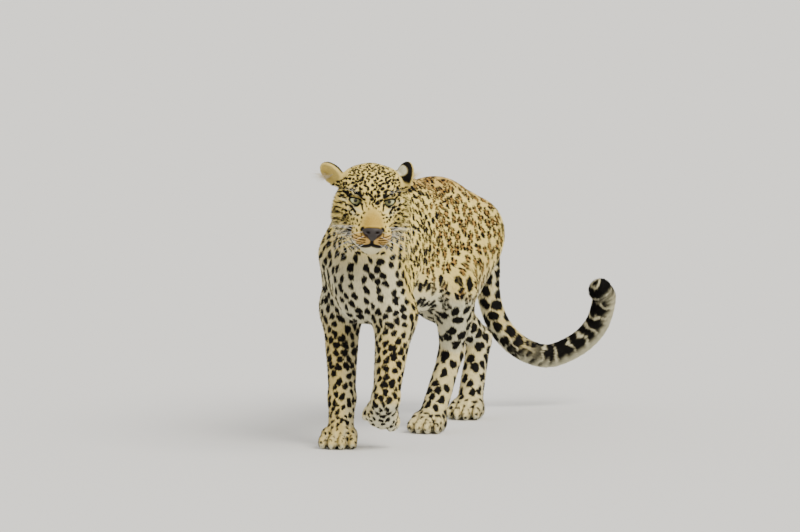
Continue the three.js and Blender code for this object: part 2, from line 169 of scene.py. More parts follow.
@dataclass(frozen=True)
class Limb:
    """A tapering limb between two joints, thinned by flat across one direction."""

    start: Vec
    end: Vec
    radii: tuple[float, float]
    across: Vec = (1.0, 0.0, 0.0)
    flat: float = 1.0

    def __call__(self, p: Array) -> Array:
        """Distance to the nearest point of the middle line, less the radius there.

        Args:
            p: Points, one in each row.

        Returns:
            Signed distances, negative inside.
        """
        a = np.array(self.start)
        axis = np.array(self.end) - a
        d = p - a
        h = np.clip(d @ axis / (axis @ axis), 0.0, 1.0)
        d = d - h[:, None] * axis
        thin = np.array(self.across)
        d = d + ((d @ thin) * (1.0 / self.flat - 1.0))[:, None] * thin
        radius = self.radii[0] + h * (self.radii[1] - self.radii[0])
        return (np.linalg.norm(d, axis=1) - radius) * self.flat


def fuse(width: float, *fields: Field) -> Field:
    """Joins forms with a soft crease.

    Args:
        width: How wide the crease is.
        fields: The forms.

    Returns:
        The field of the joined form.
    """

    def joined(p: Array) -> Array:
        """The nearer of the forms, blended where two are close.

        Args:
            p: Points, one in each row.

        Returns:
            Signed distances, negative inside.
        """
        best = fields[0](p)
        for form in fields[1:]:
            other = form(p)
            h = np.maximum(width - np.abs(best - other), 0.0) / width
            best = np.minimum(best, other) - h * h * width / 4.0
        return best

    return joined


def carve(width: float, body: Field, *tools: Field) -> Field:
    """Takes forms out of a body, with soft edges.

    Args:
        width: How wide the soft edge is.
        body: What is carved.
        tools: What is taken out.

    Returns:
        The field of what is left.
    """

    def carved(p: Array) -> Array:
        """The body cut back where a tool is, blended at the edge of the cut.

        Args:
            p: Points, one in each row.

        Returns:
            Signed distances, negative inside.
        """
        best = body(p)
        for tool in tools:
            cut = -tool(p)
            h = np.maximum(width - np.abs(best - cut), 0.0) / width
            best = np.maximum(best, cut) + h * h * width / 4.0
        return best

    return carved


def mirrored(form: Field) -> Field:
    """Makes the right half of a form like its left half."""
    return lambda p: form(np.column_stack([np.abs(p[:, 0]), p[:, 1:]]))


def placed(form: Field, place: Place) -> Field:
    """Moves a form that is drawn in a frame of its own."""
    return lambda p: form(place.local(p))


def near(form: Field, centre: Vec, radius: float, margin: float = 0.06) -> Field:
    """Works a form out only near it; further off its distance is only rough.

    Args:
        form: The form.
        centre: The middle of a ball that holds the form.
        radius: That ball's radius.
        margin: How far round the ball the form is still worked out.

    Returns:
        The field, exact near the form.
    """

    def close(p: Array) -> Array:
        """The form near the ball, and the distance from the ball further off.

        Args:
            p: Points, one in each row.

        Returns:
            Signed distances, negative inside.
        """
        out = np.linalg.norm(p - np.array(centre), axis=1) - radius
        mask = out <= margin
        out[mask] = form(p[mask])
        return out

    return close


# The animal's proportions: the solids' own, but for the mouth's line and the eyes' openings


@dataclass(frozen=True)
class Foreleg:
    """The joints of a foreleg, from the shoulder blade down to the paw."""

    blade: Vec
    shoulder: Vec
    elbow: Vec
    wrist: Vec
    ball: Vec
    forward: Vec
    up: Vec

    def field(self) -> Field:
        """Joins the leg's muscles and its paw.

        Returns:
            The field.
        """
        blade, elbow = self.blade, self.elbow
        triceps = (blade[0] * 1.2, blade[1] + 0.04, blade[2] - 0.11)
        point = (elbow[0], elbow[1] + 0.014, elbow[2] + 0.008)
        upper = fuse(
            0.034,
            Limb(blade, self.shoulder, (0.044, 0.05), flat=0.7),
            Limb(triceps, elbow, (0.056, 0.042), flat=0.7),
            Limb(self.shoulder, elbow, (0.044, 0.044)),
        )
        lower = fuse(
            0.016,
            Limb(elbow, self.wrist, (0.046, 0.031)),
            Lump(point, (0.03, 0.03, 0.034)),
            Limb(self.wrist, self.ball, (0.032, 0.03)),
            FORE_PAW.field(paw_place(self.ball, self.forward, self.up)),
        )
        return fuse(0.03, upper, lower)

    def top(self) -> Vec:
        """The joint that the leg hangs from."""
        return self.shoulder

    def shank(self) -> tuple[Vec, Vec]:
        """The joints at the ends of the lower leg."""
        return self.elbow, self.wrist


@dataclass(frozen=True)
class Hindleg:
    """The joints of a hind leg, from the hip down to the paw."""

    hip: Vec
    seat: Vec
    knee: Vec
    hock: Vec
    ball: Vec
    forward: Vec = (0.0, -1.0, 0.0)
    up: Vec = (0.0, 0.0, 1.0)

    def field(self) -> Field:
        """Joins the leg's muscles and its paw.

        Returns:
            The field.
        """
        knee, hock = self.knee, self.hock
        calf = [h + (k - h) * 0.6 for h, k in zip(hock, knee)]
        calf[1] += 0.02
        heel = (hock[0], hock[1] + 0.014, hock[2] + 0.006)
        upper = fuse(
            0.04,
            Limb(self.hip, knee, (0.084, 0.056), flat=0.6),
            Limb(self.seat, tuple(calf), (0.058, 0.034), flat=0.7),
        )
        lower = fuse(
            0.018,
            Limb(knee, hock, (0.052, 0.028)),
            Limb(tuple(calf), heel, (0.036, 0.015)),
            Limb(heel, self.ball, (0.022, 0.025)),
            Limb(hock, self.ball, (0.027, 0.029)),
            HIND_PAW.field(paw_place(self.ball, self.forward, self.up)),
        )
        return fuse(0.034, upper, lower)

    def top(self) -> Vec:
        """The joint that the leg hangs from."""
        return self.hip

    def shank(self) -> tuple[Vec, Vec]:
        """The joints at the ends of the lower leg."""
        return self.knee, self.hock


@dataclass(frozen=True)
class Paw:
    """A paw's size: its width, the length of its toes and its depth."""

    width: float
    toes: float
    depth: float

    def field(self, place: Place) -> Field:
        """Joins the pad with four toes and their knuckles.

        Args:
            place: The paw's own frame.

        Returns:
            The field.
        """
        w, t, d = self.width, self.toes, self.depth
        parts: list[Field] = [
            Lump((0, 0, 0.002), (w * 0.42, t * 0.62, d)),
            Lump((0, -t * 0.1, -d * 0.28), (w * 0.4, t * 0.55, d * 0.8)),
        ]
        for i in range(4):
            rank = i - 1.5
            side = rank * w * 0.24
            reach = t * (0.68 if abs(rank) < 1 else 0.5)
            tip = (w * 0.132, t * 0.36, d * 0.74)
            knuckle = (w * 0.12, t * 0.32, d * 0.62)
            parts.append(Lump((side, reach, -d * 0.3), tip, (0, 0, -rank * 7)))
            parts.append(Lump((side * 0.95, reach * 0.5, d * 0.28), knuckle))
        return placed(fuse(0.008, *parts), place)


def paw_place(ball: Vec, forward: Vec, up: Vec) -> Place:
    """A paw's own frame: Y out over the toes and Z out of its back.

    Args:
        ball: The middle of the paw.
        forward: The way that the toes point.
        up: Roughly the way out of the paw's back.

    Returns:
        The frame.
    """
    front = unit(np.array(forward))
    top = np.array(up) - front * (np.array(up) @ front)
    top = unit(top)
    return Place(np.column_stack([np.cross(front, top), front, top]), np.array(ball))


FORE_PAW = Paw(0.094, 0.062, 0.027)
HIND_PAW = Paw(0.088, 0.064, 0.026)
RIGHT_FORE = Foreleg(
    blade=(-0.04, 0.078, 0.575),
    shoulder=(-0.06, -0.022, 0.452),
    elbow=(-0.084, 0.048, 0.32),
    wrist=(-0.069, 0.014, 0.112),
    ball=(-0.057, -0.024, 0.024),
    forward=(0.2, -0.98, 0.0),
    up=(0.0, 0.0, 1.0),
)
LEFT_FORE = Foreleg(
    blade=(0.04, 0.062, 0.58),
    shoulder=(0.06, -0.04, 0.458),
    elbow=(0.08, -0.022, 0.312),
    wrist=(0.076, -0.072, 0.122),
    ball=(0.052, -0.038, 0.084),
    forward=(-0.42, 0.72, -0.55),
    up=(-0.16, -0.66, -0.73),
)
LEFT_HIND = Hindleg(
    hip=(0.036, 0.622, 0.458),
    seat=(0.027, 0.684, 0.448),
    knee=(0.07, 0.378, 0.344),
    hock=(0.024, 0.474, 0.184),
    ball=(0.014, 0.364, 0.024),
)
RIGHT_HIND = Hindleg(
    hip=(-0.036, 0.628, 0.458),
    seat=(-0.027, 0.69, 0.448),
    knee=(-0.064, 0.568, 0.312),
    hock=(-0.017, 0.76, 0.186),
    ball=(-0.012, 0.682, 0.024),
)
FORE = (RIGHT_FORE, LEFT_FORE)
HIND = (RIGHT_HIND, LEFT_HIND)


@dataclass(frozen=True)
class Trunk:
    """The masses of the trunk, and the bars of muscle along the back."""

    ribs: Lump = Lump((0, 0.15, 0.446), (0.086, 0.23, 0.156))
    chest: Lump = Lump((0, -0.01, 0.414), (0.078, 0.105, 0.124))
    loin: Lump = Lump((0, 0.41, 0.456), (0.08, 0.236, 0.15))
    rump: Lump = Lump((0, 0.62, 0.436), (0.056, 0.126, 0.091))
    belly: Lump = Lump((0, 0.33, 0.37), (0.066, 0.225, 0.074))
    withers: Limb = Limb((0, 0.02, 0.556), (0, 0.23, 0.552), (0.054, 0.048))
    spine: Limb = Limb((0, 0.18, 0.566), (0, 0.575, 0.522), (0.044, 0.036))
    neck: Limb = Limb((0.004, 0.006, 0.488), (0.076, -0.174, 0.572), (0.088, 0.072))
    crease: float = 0.046

    def field(self) -> Field:
        """Joins the masses of the trunk, without the neck."""
        masses = (self.ribs, self.chest, self.loin, self.rump, self.belly, self.withers, self.spine)
        return fuse(self.crease, *masses)


@dataclass(frozen=True)
class Tail:
    """The tail's middle line, from inside the rump to the tip, and its radii."""

    line: tuple[Vec, ...] = (
        (0, 0.69, 0.5),
        (-0.01, 0.78, 0.452),
        (-0.024, 0.84, 0.37),
        (-0.03, 0.862, 0.285),
        (-0.01, 0.884, 0.208),
        (0.03, 0.921, 0.154),
        (0.088, 0.964, 0.13),
        (0.15, 1.006, 0.158),
        (0.192, 1.027, 0.206),
        (0.212, 1.026, 0.268),
        (0.208, 1.012, 0.292),
    )
    root: float = 0.034
    middle: float = 0.028
    tip: float = 0.03
    steps: int = 36

    def points(self) -> Array:
        """Even steps of a smooth curve through the middle line.

        Each stretch is a cubic whose slope at a point is half the way between its neighbours.

        Returns:
            One point more than the steps.
        """
        p = np.array(self.line)
        ends = np.vstack([2 * p[0] - p[1], p, 2 * p[-1] - p[-2]])
        t = np.linspace(0, len(p) - 1, self.steps + 1)
        i = np.minimum(t.astype(int), len(p) - 2)
        f = (t - i)[:, None]
        a, b, c, d = (ends[i + k] for k in range(4))
        ma, mb = (c - a) / 2, (d - b) / 2
        rise = f * f * (3 - 2 * f)
        return b * (1 - rise) + c * rise + ma * (f * (1 - f) ** 2) + mb * (f * f * (f - 1))

    def radii(self) -> Array:
        """The radius at each of the points.

        Returns:
            One radius for each point.
        """
        t = np.linspace(0, 1, self.steps + 1)
        swell = self.middle + (self.tip - self.middle) * t
        return self.root + (swell - self.root) * np.minimum(1, t * 3)

    def field(self) -> Field:
        """The nearest of the tail's links.

        Returns:
            The field.
        """
        p, r = self.points(), self.radii()
        links = [
            Limb(tuple(p[i]), tuple(p[i + 1]), (r[i], r[i + 1])) for i in range(self.steps)
        ]

        def tail(q: Array) -> Array:
            """The distance from the nearest link."""
            return np.min([link(q) for link in links], axis=0)

        return tail


@dataclass(frozen=True)
class Head:
    """The head's place and forms, drawn in a frame midway between the eyes with -Y out of the nose."""

    origin: Vec = (0.136, -0.301, 0.603)
    yaw: float = 25.0
    pitch: float = 16.0
    roll: float = 2.7
    eye: Vec = (0.0385, -0.001, 0.0)
    eye_radius: float = 0.0155
    lid: float = 0.0032
    gap: Vec = (0.0165, 0.015, 0.0067)
    gap_offset: Vec = (-0.001, -0.02, -0.0018)
    gap_turn: Vec = (0.0, -20.0, 12.0)
    middle: Vec = (0.0, 0.03, -0.01)

    def place(self) -> Place:
        """The head's frame: turned to the left, nodded down and leaned over."""
        turn = turned((0, 0, self.yaw)) @ turned((self.pitch, 0, 0)) @ turned((0, self.roll, 0))
        return Place(turn, np.array(self.origin))

    def skull(self) -> Field:
        """Joins the bulk of the head with the snout.

        Returns:
            The field.
        """
        bulk = fuse(
            0.02,
            Lump((0, 0.062, 0.004), (0.064, 0.084, 0.055)),
            Lump((0, 0.016, 0.017), (0.054, 0.05, 0.031)),
            Lump((0.034, 0.046, 0.02), (0.038, 0.052, 0.034)),
            Lump((0.05, 0.018, -0.018), (0.03, 0.038, 0.03)),
            Lump((0.044, 0.034, -0.054), (0.038, 0.046, 0.046)),
            Lump((0, 0.06, -0.05), (0.064, 0.06, 0.056)),
        )
        snout = fuse(
            0.014,
            Limb((0, -0.008, 0.002), (0, -0.068, -0.038), (0.025, 0.02)),
            Limb((0, -0.01, -0.032), (0, -0.058, -0.056), (0.044, 0.032)),
            Lump((0.02, -0.024, -0.034), (0.032, 0.046, 0.032)),
            Lump((0.021, -0.064, -0.062), (0.026, 0.027, 0.023)),
            Lump((0, -0.018, -0.08), (0.046, 0.056, 0.03)),
            Lump((0, -0.056, -0.094), (0.023, 0.023, 0.018)),
        )
        return fuse(0.018, bulk, snout)

    def opening(self) -> Lump:
        """The slanting almond between the lids."""
        centre = tuple(e + o for e, o in zip(self.eye, self.gap_offset))
        return Lump(centre, self.gap, self.gap_turn)

    def mouth(self) -> Field:
        """A cleft below the nose, a groove under each lip, and the corner drawn back.

        Returns:
            The field.
        """
        cleft = Limb((0, -0.096, -0.062), (0, -0.083, -0.079), (0.0018, 0.0024))
        lip = Limb((0, -0.083, -0.0795), (0.02, -0.0795, -0.0865), (0.003, 0.003))
        corner = Limb((0.02, -0.0795, -0.0865), (0.037, -0.057, -0.09), (0.003, 0.0024))
        return fuse(0.002, cleft, lip, corner)

    def pad(self) -> Lump:
        """The leather of the nose."""
        return Lump((0, -0.084, -0.05), (0.022, 0.011, 0.014))

    def nostril(self) -> Lump:
        """One nostril."""
        return Lump((0.012, -0.094, -0.047), (0.005, 0.008, 0.0032), (0, 0, 30))

    def half(self) -> Field:
        """The face with its lids, nose and mouth, as its left half.

        Returns:
            The field.
        """
        x, y, z = self.eye
        size = self.eye_radius + self.lid
        socket = Lump((x - 0.002, y - 0.016, z), (0.019, 0.009, 0.011), (0, 0, 14))
        cover = Lump((x, y, z), (size, size, size))
        brow = Lump((0.034, -0.008, 0.02), (0.02, 0.012, 0.007), (0, 12, 20))
        lidded = fuse(0.007, carve(0.008, self.skull(), socket), cover, brow)
        dressed = carve(0.003, lidded, self.opening())
        return carve(0.004, fuse(0.005, dressed, self.pad()), self.mouth(), self.nostril())

    def field(self) -> Field:
        """Both halves of the head."""
        return mirrored(self.half())


@dataclass(frozen=True)
class Ear:
    """An ear is a cup: its middle, the way it points and the way it opens, in the head's frame."""

    centre: Vec
    point: Vec
    open: Vec
    radii: Vec = (0.027, 0.017, 0.035)
    hollow: Vec = (0.022, 0.017, 0.029)
    offset: Vec = (0.0, -0.012, 0.003)

    def place(self) -> Place:
        """The ear's own frame in the head's: -Y out of the cup and Z to its point.

        Returns:
            The frame.
        """
        top = unit(np.array(self.point))
        back = np.array(self.open) - top * (np.array(self.open) @ top)
        back = -unit(back)
        return Place(np.column_stack([np.cross(back, top), back, top]), np.array(self.centre))

    def field(self) -> Field:
        """The outer form less the hollow."""
        cup = carve(0.003, Lump((0, 0, 0), self.radii), Lump(self.offset, self.hollow))
        return placed(cup, self.place())


TRUNK = Trunk()
TAIL = Tail()
HEAD = Head()
HEAD_PLACE = HEAD.place()
RIGHT_EAR = Ear((-0.09, 0.058, 0.036), (-0.7, 0.08, 0.7), (-0.62, -0.74, -0.2))
LEFT_EAR = Ear((0.076, 0.062, 0.037), (0.25, 0.1, 0.96), (0.84, 0.5, -0.1))
EARS = (RIGHT_EAR, LEFT_EAR)


def folded(p: Array) -> Array:
    """Points in the head's frame, with its right half folded onto its left."""
    q = HEAD_PLACE.local(p)
    return np.column_stack([np.abs(q[:, 0]), q[:, 1:]])


def from_head(p: Array) -> Array:
    """How far points of the animal's frame are from the middle of the head."""
    return np.linalg.norm(HEAD_PLACE.local(p) - HEAD.middle, axis=1)


def animal() -> Field:
    """The whole body. Each limb melts into the trunk, and never into another limb.

    Returns:
        The field.
    """
    face = fuse(0.009, HEAD.field(), RIGHT_EAR.field(), LEFT_EAR.field())
    core = fuse(
        0.03,
        TRUNK.field(),
        TRUNK.neck,
        near(placed(face, HEAD_PLACE), HEAD.origin, 0.19),
    )
    limbs = [
        near(RIGHT_FORE.field(), RIGHT_FORE.elbow, 0.34),
        near(LEFT_FORE.field(), LEFT_FORE.elbow, 0.33),
        near(RIGHT_HIND.field(), RIGHT_HIND.knee, 0.34),
        near(LEFT_HIND.field(), LEFT_HIND.knee, 0.39),
        near(TAIL.field(), TAIL.line[5], 0.44),
    ]
    width = 0.032

    def body(p: Array) -> Array:
        """The core joined with one limb after another, and cut off at the floor.

        Args:
            p: Points, one in each row.

        Returns:
            Signed distances, negative inside.
        """
        base = core(p)
        best = base
        for limb in limbs:
            other = limb(p)
            h = np.maximum(width - np.abs(base - other), 0.0) / width
            best = np.minimum(best, np.minimum(base, other) - h * h * width / 4.0)
        return np.maximum(best, -p[:, 2])

    return body


# Surfaces


@dataclass
class Surface:
    """Points and triangles of a surface."""

    points: Array
    triangles: Array

    def normals(self) -> Array:
        """Each point's normal: the sum of its triangles' normals, scaled to length 1.

        Returns:
            One normal for each point.
        """
        p, t = self.points, self.triangles
        face = np.cross(p[t[:, 1]] - p[t[:, 0]], p[t[:, 2]] - p[t[:, 0]])
        out = np.zeros_like(p)
        for corner in range(3):
            for axis in range(3):
                weights = face[:, axis]
                out[:, axis] += np.bincount(t[:, corner], weights, len(p))
        return unit(out)

    def kept(self, mask: Array) -> "Surface":
        """The triangles whose three points are all in the mask.

        Args:
            mask: Whether to keep each point.

        Returns:
            A surface of its own.
        """
        t = self.triangles[mask[self.triangles].all(axis=1)]
        used = np.unique(t)
        place = np.full(len(self.points), -1)
        place[used] = np.arange(len(used))
        return Surface(self.points[used], place[t])

    def with_other(self, other: "Surface") -> "Surface":
        """Both surfaces as one."""
        triangles = np.vstack([self.triangles, other.triangles + len(self.points)])
        return Surface(np.vstack([self.points, other.points]), triangles)


def slope(form: Field, p: Array, step: float = 0.0005) -> tuple[Array, Array]:
    """A field's value and slope, from the values a small step further along each axis.

    Args:
        form: The field.
        p: Points, one in each row.
        step: How far the step goes.

    Returns:
        The value at each point, and the slope as a vector in each row.
    """
    value = form(p)
    ahead = [form(p + step * np.eye(3)[axis]) - value for axis in range(3)]
    return value, np.column_stack(ahead) / step


@dataclass(frozen=True)
class Mesher:
    """Meshes the zero surface of a field on an even grid.

    The field is first worked out on every line that skip picks, and then on every line within
    near_steps of those wide steps from the surface. Rounds bounds the untangling, and slides is
    how often the points slide onto the surface.
    """

    low: Vec
    high: Vec
    step: float
    skip: int = 4
    near_steps: float = 1.6
    rounds: int = 20
    slides: int = 2
    barely_inside: float = -1e-5

    def lines(self) -> list[Array]:
        """The grid's lines along each axis.

        Returns:
            The places of the lines along X, Y and Z.
        """
        return [
            lo + self.step * np.arange(math.ceil((hi - lo) / self.step / self.skip) * self.skip + 1)
            for lo, hi in zip(self.low, self.high)
        ]

    def values(self, form: Field, lines: list[Array]) -> Array:
        """The field on the grid: on every fourth line first, and in full only near the surface.

        Args:
            form: The field.
            lines: The grid's lines.

        Returns:
            A 3-D array, positive all round its rim.
        """
        k = self.skip
        coarse_lines = [line[::k] for line in lines]
        coarse = np.stack(np.meshgrid(*coarse_lines, indexing="ij"), -1)
        shape = coarse.shape[:3]
        rough = form(coarse.reshape(-1, 3)).reshape(shape)
        index = [np.minimum((np.arange(len(line)) + k // 2) // k, n - 1) for line, n in zip(lines, shape)]
        value = rough[np.ix_(*index)]
        close = np.argwhere(np.abs(value) < self.near_steps * k * self.step)
        points = np.column_stack([line[close[:, a]] for a, line in enumerate(lines)])
        value[tuple(close.T)] = form(points)
        for axis in range(3):
            rim = np.moveaxis(value, axis, 0)
            rim[[0, -1]] = 1.0
        return value

    def untangle(self, value: Array) -> None:
        """Fills the nearer outside corner where inside meets inside only across a face's diagonal.

        Args:
            value: The field on the grid, changed in place.
        """
        for _ in range(self.rounds):
            tangled = False
            for axis in range(3):
                v = np.moveaxis(value, axis, 2)
                a, b, c, d = v[:-1, :-1], v[1:, :-1], v[1:, 1:], v[:-1, 1:]
                crossed = ((a < 0) == (c < 0)) & ((b < 0) == (d < 0)) & ((a < 0) != (b < 0))
                if not crossed.any():
                    continue
                tangled = True
                for p, q in (((0, 0), (1, 1)), ((1, 0), (0, 1))):
                    at = np.argwhere(crossed)
                    i = (at[:, 0] + p[0], at[:, 1] + p[1], at[:, 2])
                    j = (at[:, 0] + q[0], at[:, 1] + q[1], at[:, 2])
                    outside = v[i] >= 0
                    first = v[i] < v[j]
                    for where, pick in ((i, outside & first), (j, outside & ~first)):
                        v[tuple(w[pick] for w in where)] = self.barely_inside
            if not tangled:
                return

    def surface(self, form: Field) -> Surface:
        """One point in each cell that the surface crosses, slid onto it, and a face round each edge.

        Args:
            form: The field.

        Returns:
            The closed surface.
        """
        lines = self.lines()
        value = self.values(form, lines)
        self.untangle(value)
        inside = value < 0
        nx, ny, nz = (n - 1 for n in inside.shape)
        count = sum(
            inside[i : nx + i, j : ny + j, k : nz + k].astype(np.int8)
            for i in (0, 1)
            for j in (0, 1)
            for k in (0, 1)
        )
        cells = np.argwhere((count > 0) & (count < 8))
        number = np.full(value.shape, -1, dtype=np.int64)
        number[tuple(cells.T)] = np.arange(len(cells))
        points = self.cell_points(value, cells, lines)
        low = np.column_stack([line[cells[:, a]] for a, line in enumerate(lines)])
        for _ in range(self.slides):
            f, g = slope(form, points)
            push = f[:, None] * g / np.maximum((g * g).sum(1, keepdims=True), 0.25)
            points = np.clip(points - push, low, low + self.step)
        return Surface(points, self.faces(inside, number, points))

    def cell_points(self, value: Array, cells: Array, lines: list[Array]) -> Array:
        """The mean of the places where the surface crosses each cell's twelve edges.

        Args:
            value: The field on the grid.
            cells: The cells' places in the grid.
            lines: The grid's lines.

        Returns:
            One point for each cell.
        """
        total = np.zeros((len(cells), 3))
        hits = np.zeros(len(cells))
        origin = np.array([line[0] for line in lines])
        for axis in range(3):
            b, c = (axis + 1) % 3, (axis + 2) % 3
            for corner in range(4):
                start = cells.copy()
                start[:, b] += corner & 1
                start[:, c] += corner >> 1
                end = start.copy()
                end[:, axis] += 1
                v0, v1 = value[tuple(start.T)], value[tuple(end.T)]
                crossing = (v0 < 0) != (v1 < 0)
                share = np.where(crossing, v0 / np.where(crossing, v0 - v1, 1.0), 0.0)
                spot = start.astype(float)
                spot[:, axis] += share
                total[crossing] += spot[crossing]
                hits += crossing
        return origin + self.step * total / hits[:, None]

    def faces(self, inside: Array, number: Array, points: Array) -> Array:
        """Two triangles round each grid edge that the surface crosses, split along the shorter way.

        Args:
            inside: Whether each grid point is inside.
            number: The number of each cell's point.
            points: The cells' points.

        Returns:
            Triangles that face outward.
        """
        out = []
        for axis in range(3):
            cut = [slice(None)] * 3
            ahead = [slice(None)] * 3
            cut[axis], ahead[axis] = slice(0, -1), slice(1, None)
            change = inside[tuple(cut)] != inside[tuple(ahead)]
            at = np.argwhere(change)
            out_way = inside[tuple(at.T)]
            b, c = np.eye(3, dtype=int)[(axis + 1) % 3], np.eye(3, dtype=int)[(axis + 2) % 3]
            ring = np.column_stack([number[tuple((at - s).T)] for s in (b + c, c, 0 * b, b)])
            ring[~out_way] = ring[~out_way][:, ::-1]
            first = np.linalg.norm(points[ring[:, 0]] - points[ring[:, 2]], axis=1)
            other = np.linalg.norm(points[ring[:, 1]] - points[ring[:, 3]], axis=1)
            short = first < other
            out += [ring[short][:, [0, 1, 2]], ring[short][:, [0, 2, 3]]]
            out += [ring[~short][:, [0, 1, 3]], ring[~short][:, [1, 2, 3]]]
        return np.vstack(out)


def build_mesh(name: str, surface: Surface) -> bpy.types.Object:
    """Makes a smooth mesh object whose place is in its vertices.

    Args:
        name: The piece's name.
        surface: Points in the animal's own frame, and triangles.

    Returns:
        The new object, in the scene.
    """
    mesh = bpy.data.meshes.new(name)
    points = surface.points + np.array(SHIFT)
    triangles = surface.triangles.astype(np.int32)
    mesh.vertices.add(len(points))
    mesh.vertices.foreach_set("co", points.astype(np.float32).ravel())
    mesh.loops.add(triangles.size)
    mesh.loops.foreach_set("vertex_index", triangles.ravel())
    mesh.polygons.add(len(triangles))
    mesh.polygons.foreach_set("loop_start", np.arange(0, triangles.size, 3, dtype=np.int32))
    mesh.polygons.foreach_set("use_smooth", np.ones(len(triangles), dtype=bool))
    mesh.update(calc_edges=True)
    mesh.validate()
    thing = bpy.data.objects.new(name, mesh)
    bpy.context.scene.collection.objects.link(thing)
    return thing


def paint(thing: bpy.types.Object, name: str, colours: Array) -> None:
    """Stores a colour for each point of a piece.

    Args:
        thing: The piece.
        name: The attribute's name.
        colours: Red, green and blue for each point.
    """
    attribute = thing.data.color_attributes.new(name, "FLOAT_COLOR", "POINT")
    full = np.column_stack([colours, np.ones(len(colours))]).astype(np.float32)
    attribute.data.foreach_set("color", full.ravel())


# The lie of the coat and the zones of its pattern


class Region(Enum):
    """The pieces that the coat is made in."""

    HEAD = 0
    NECK = 1
    RIGHT_SIDE = 2
    LEFT_SIDE = 3
    FORELEGS = 4
    HINDLEGS = 5
    TAIL = 6


@dataclass(frozen=True)
class Marks:
    """A kind of marking.

    Spacing is how far apart the marks are and spot is their radius. Long is how much longer a mark
    is along the hair than across it, and ring is 1 for rosettes and 0 for solid spots.
    """

    spacing: float
    spot: float
    long: float
    ring: float = 0.0


@dataclass(frozen=True)
class Zone:
    """A stretch of the body round a bone, with one lie and length of hair and one kind of marking."""

    region: Region
    start: Vec
    end: Vec
    radius: float
    lie: Vec
    hair: float
    marks: Marks


FINE = Marks(0.0094, 0.0049, 1.5)
CHEEK_FLECKS = Marks(0.0098, 0.0052, 1.6)
MUZZLE_FLECKS = Marks(0.009, 0.002, 1.3)
NECK_SPOTS = Marks(0.0155, 0.0072, 1.5)
CHEST_SPOTS = Marks(0.0215, 0.0088, 1.6)
SHOULDER_SPOTS = Marks(0.0178, 0.0084, 1.3, ring=0.1)
ROSETTES = Marks(0.0285, 0.0160, 1.15, ring=1.0)
RUMP_ROSETTES = Marks(0.0290, 0.0164, 1.1, ring=1.0)
BELLY_SPOTS = Marks(0.034, 0.0142, 1.4)
TAIL_SPOTS = Marks(0.030, 0.0150, 1.15)
BLADE_SPOTS = Marks(0.0205, 0.0088, 1.2, ring=0.1)
ARM_SPOTS = Marks(0.0200, 0.0088, 1.25)
FOREARM_SPOTS = Marks(0.0184, 0.0089, 1.2)
WRIST_SPOTS = Marks(0.0152, 0.0065, 1.1)
FORE_TOE_FLECKS = Marks(0.0115, 0.0023, 1.0)
THIGH_ROSETTES = Marks(0.031, 0.0152, 1.1, ring=0.9)
HAUNCH_SPOTS = Marks(0.031, 0.0140, 1.2, ring=0.2)
SHANK_SPOTS = Marks(0.031, 0.0144, 1.2)
HOCK_SPOTS = Marks(0.0245, 0.0110, 1.2)
HIND_TOE_FLECKS = Marks(0.0115, 0.0024, 1.0)


def head_point(p: Vec) -> Vec:
    """A point of the head's frame, in the animal's."""
    return tuple(HEAD_PLACE.world(np.array(p)))


def head_turn(v: Vec) -> Vec:
    """A direction of the head's frame, in the animal's."""
    return tuple(HEAD_PLACE.turn(np.array(v)))


def between(a: Vec, b: Vec) -> Vec:
    """The direction from one point to another."""
    return tuple(unit(np.array(b) - np.array(a)))


def leg_zones() -> list[Zone]:
    """The zones of the four legs, from the shoulder and hip down to the toes.

    Returns:
        Five zones for each leg.
    """
    fore, hind = Region.FORELEGS, Region.HINDLEGS
    found = []
    for leg in FORE:
        down = between(leg.shoulder, leg.elbow)
        low = between(leg.elbow, leg.wrist)
        foot = between(leg.wrist, leg.ball)
        out = tuple(np.array(leg.ball) + TOE_REACH * np.array(leg.forward))
        found += [
            Zone(fore, leg.blade, leg.shoulder, 0.05, (0, 0.8, -0.6), 0.014, BLADE_SPOTS),
            Zone(fore, leg.shoulder, leg.elbow, 0.046, down, 0.012, ARM_SPOTS),
            Zone(fore, leg.elbow, leg.wrist, 0.038, low, 0.009, FOREARM_SPOTS),
            Zone(fore, leg.wrist, leg.ball, 0.03, foot, 0.007, WRIST_SPOTS),
            Zone(fore, leg.ball, out, 0.02, leg.forward, 0.005, FORE_TOE_FLECKS),
        ]
    for leg in HIND:
        low = between(leg.knee, leg.hock)
        foot = between(leg.hock, leg.ball)
        out = tuple(np.array(leg.ball) + TOE_REACH * np.array(leg.forward))
        found += [
            Zone(hind, leg.hip, leg.knee, 0.05, (0, 0.35, -0.9), 0.015, THIGH_ROSETTES),
            Zone(hind, leg.seat, leg.hock, 0.04, (0, 0.3, -0.95), 0.014, HAUNCH_SPOTS),
            Zone(hind, leg.knee, leg.hock, 0.04, low, 0.011, SHANK_SPOTS),
            Zone(hind, leg.hock, leg.ball, 0.027, foot, 0.008, HOCK_SPOTS),
            Zone(hind, leg.ball, out, 0.02, leg.forward, 0.005, HIND_TOE_FLECKS),
        ]
    return found


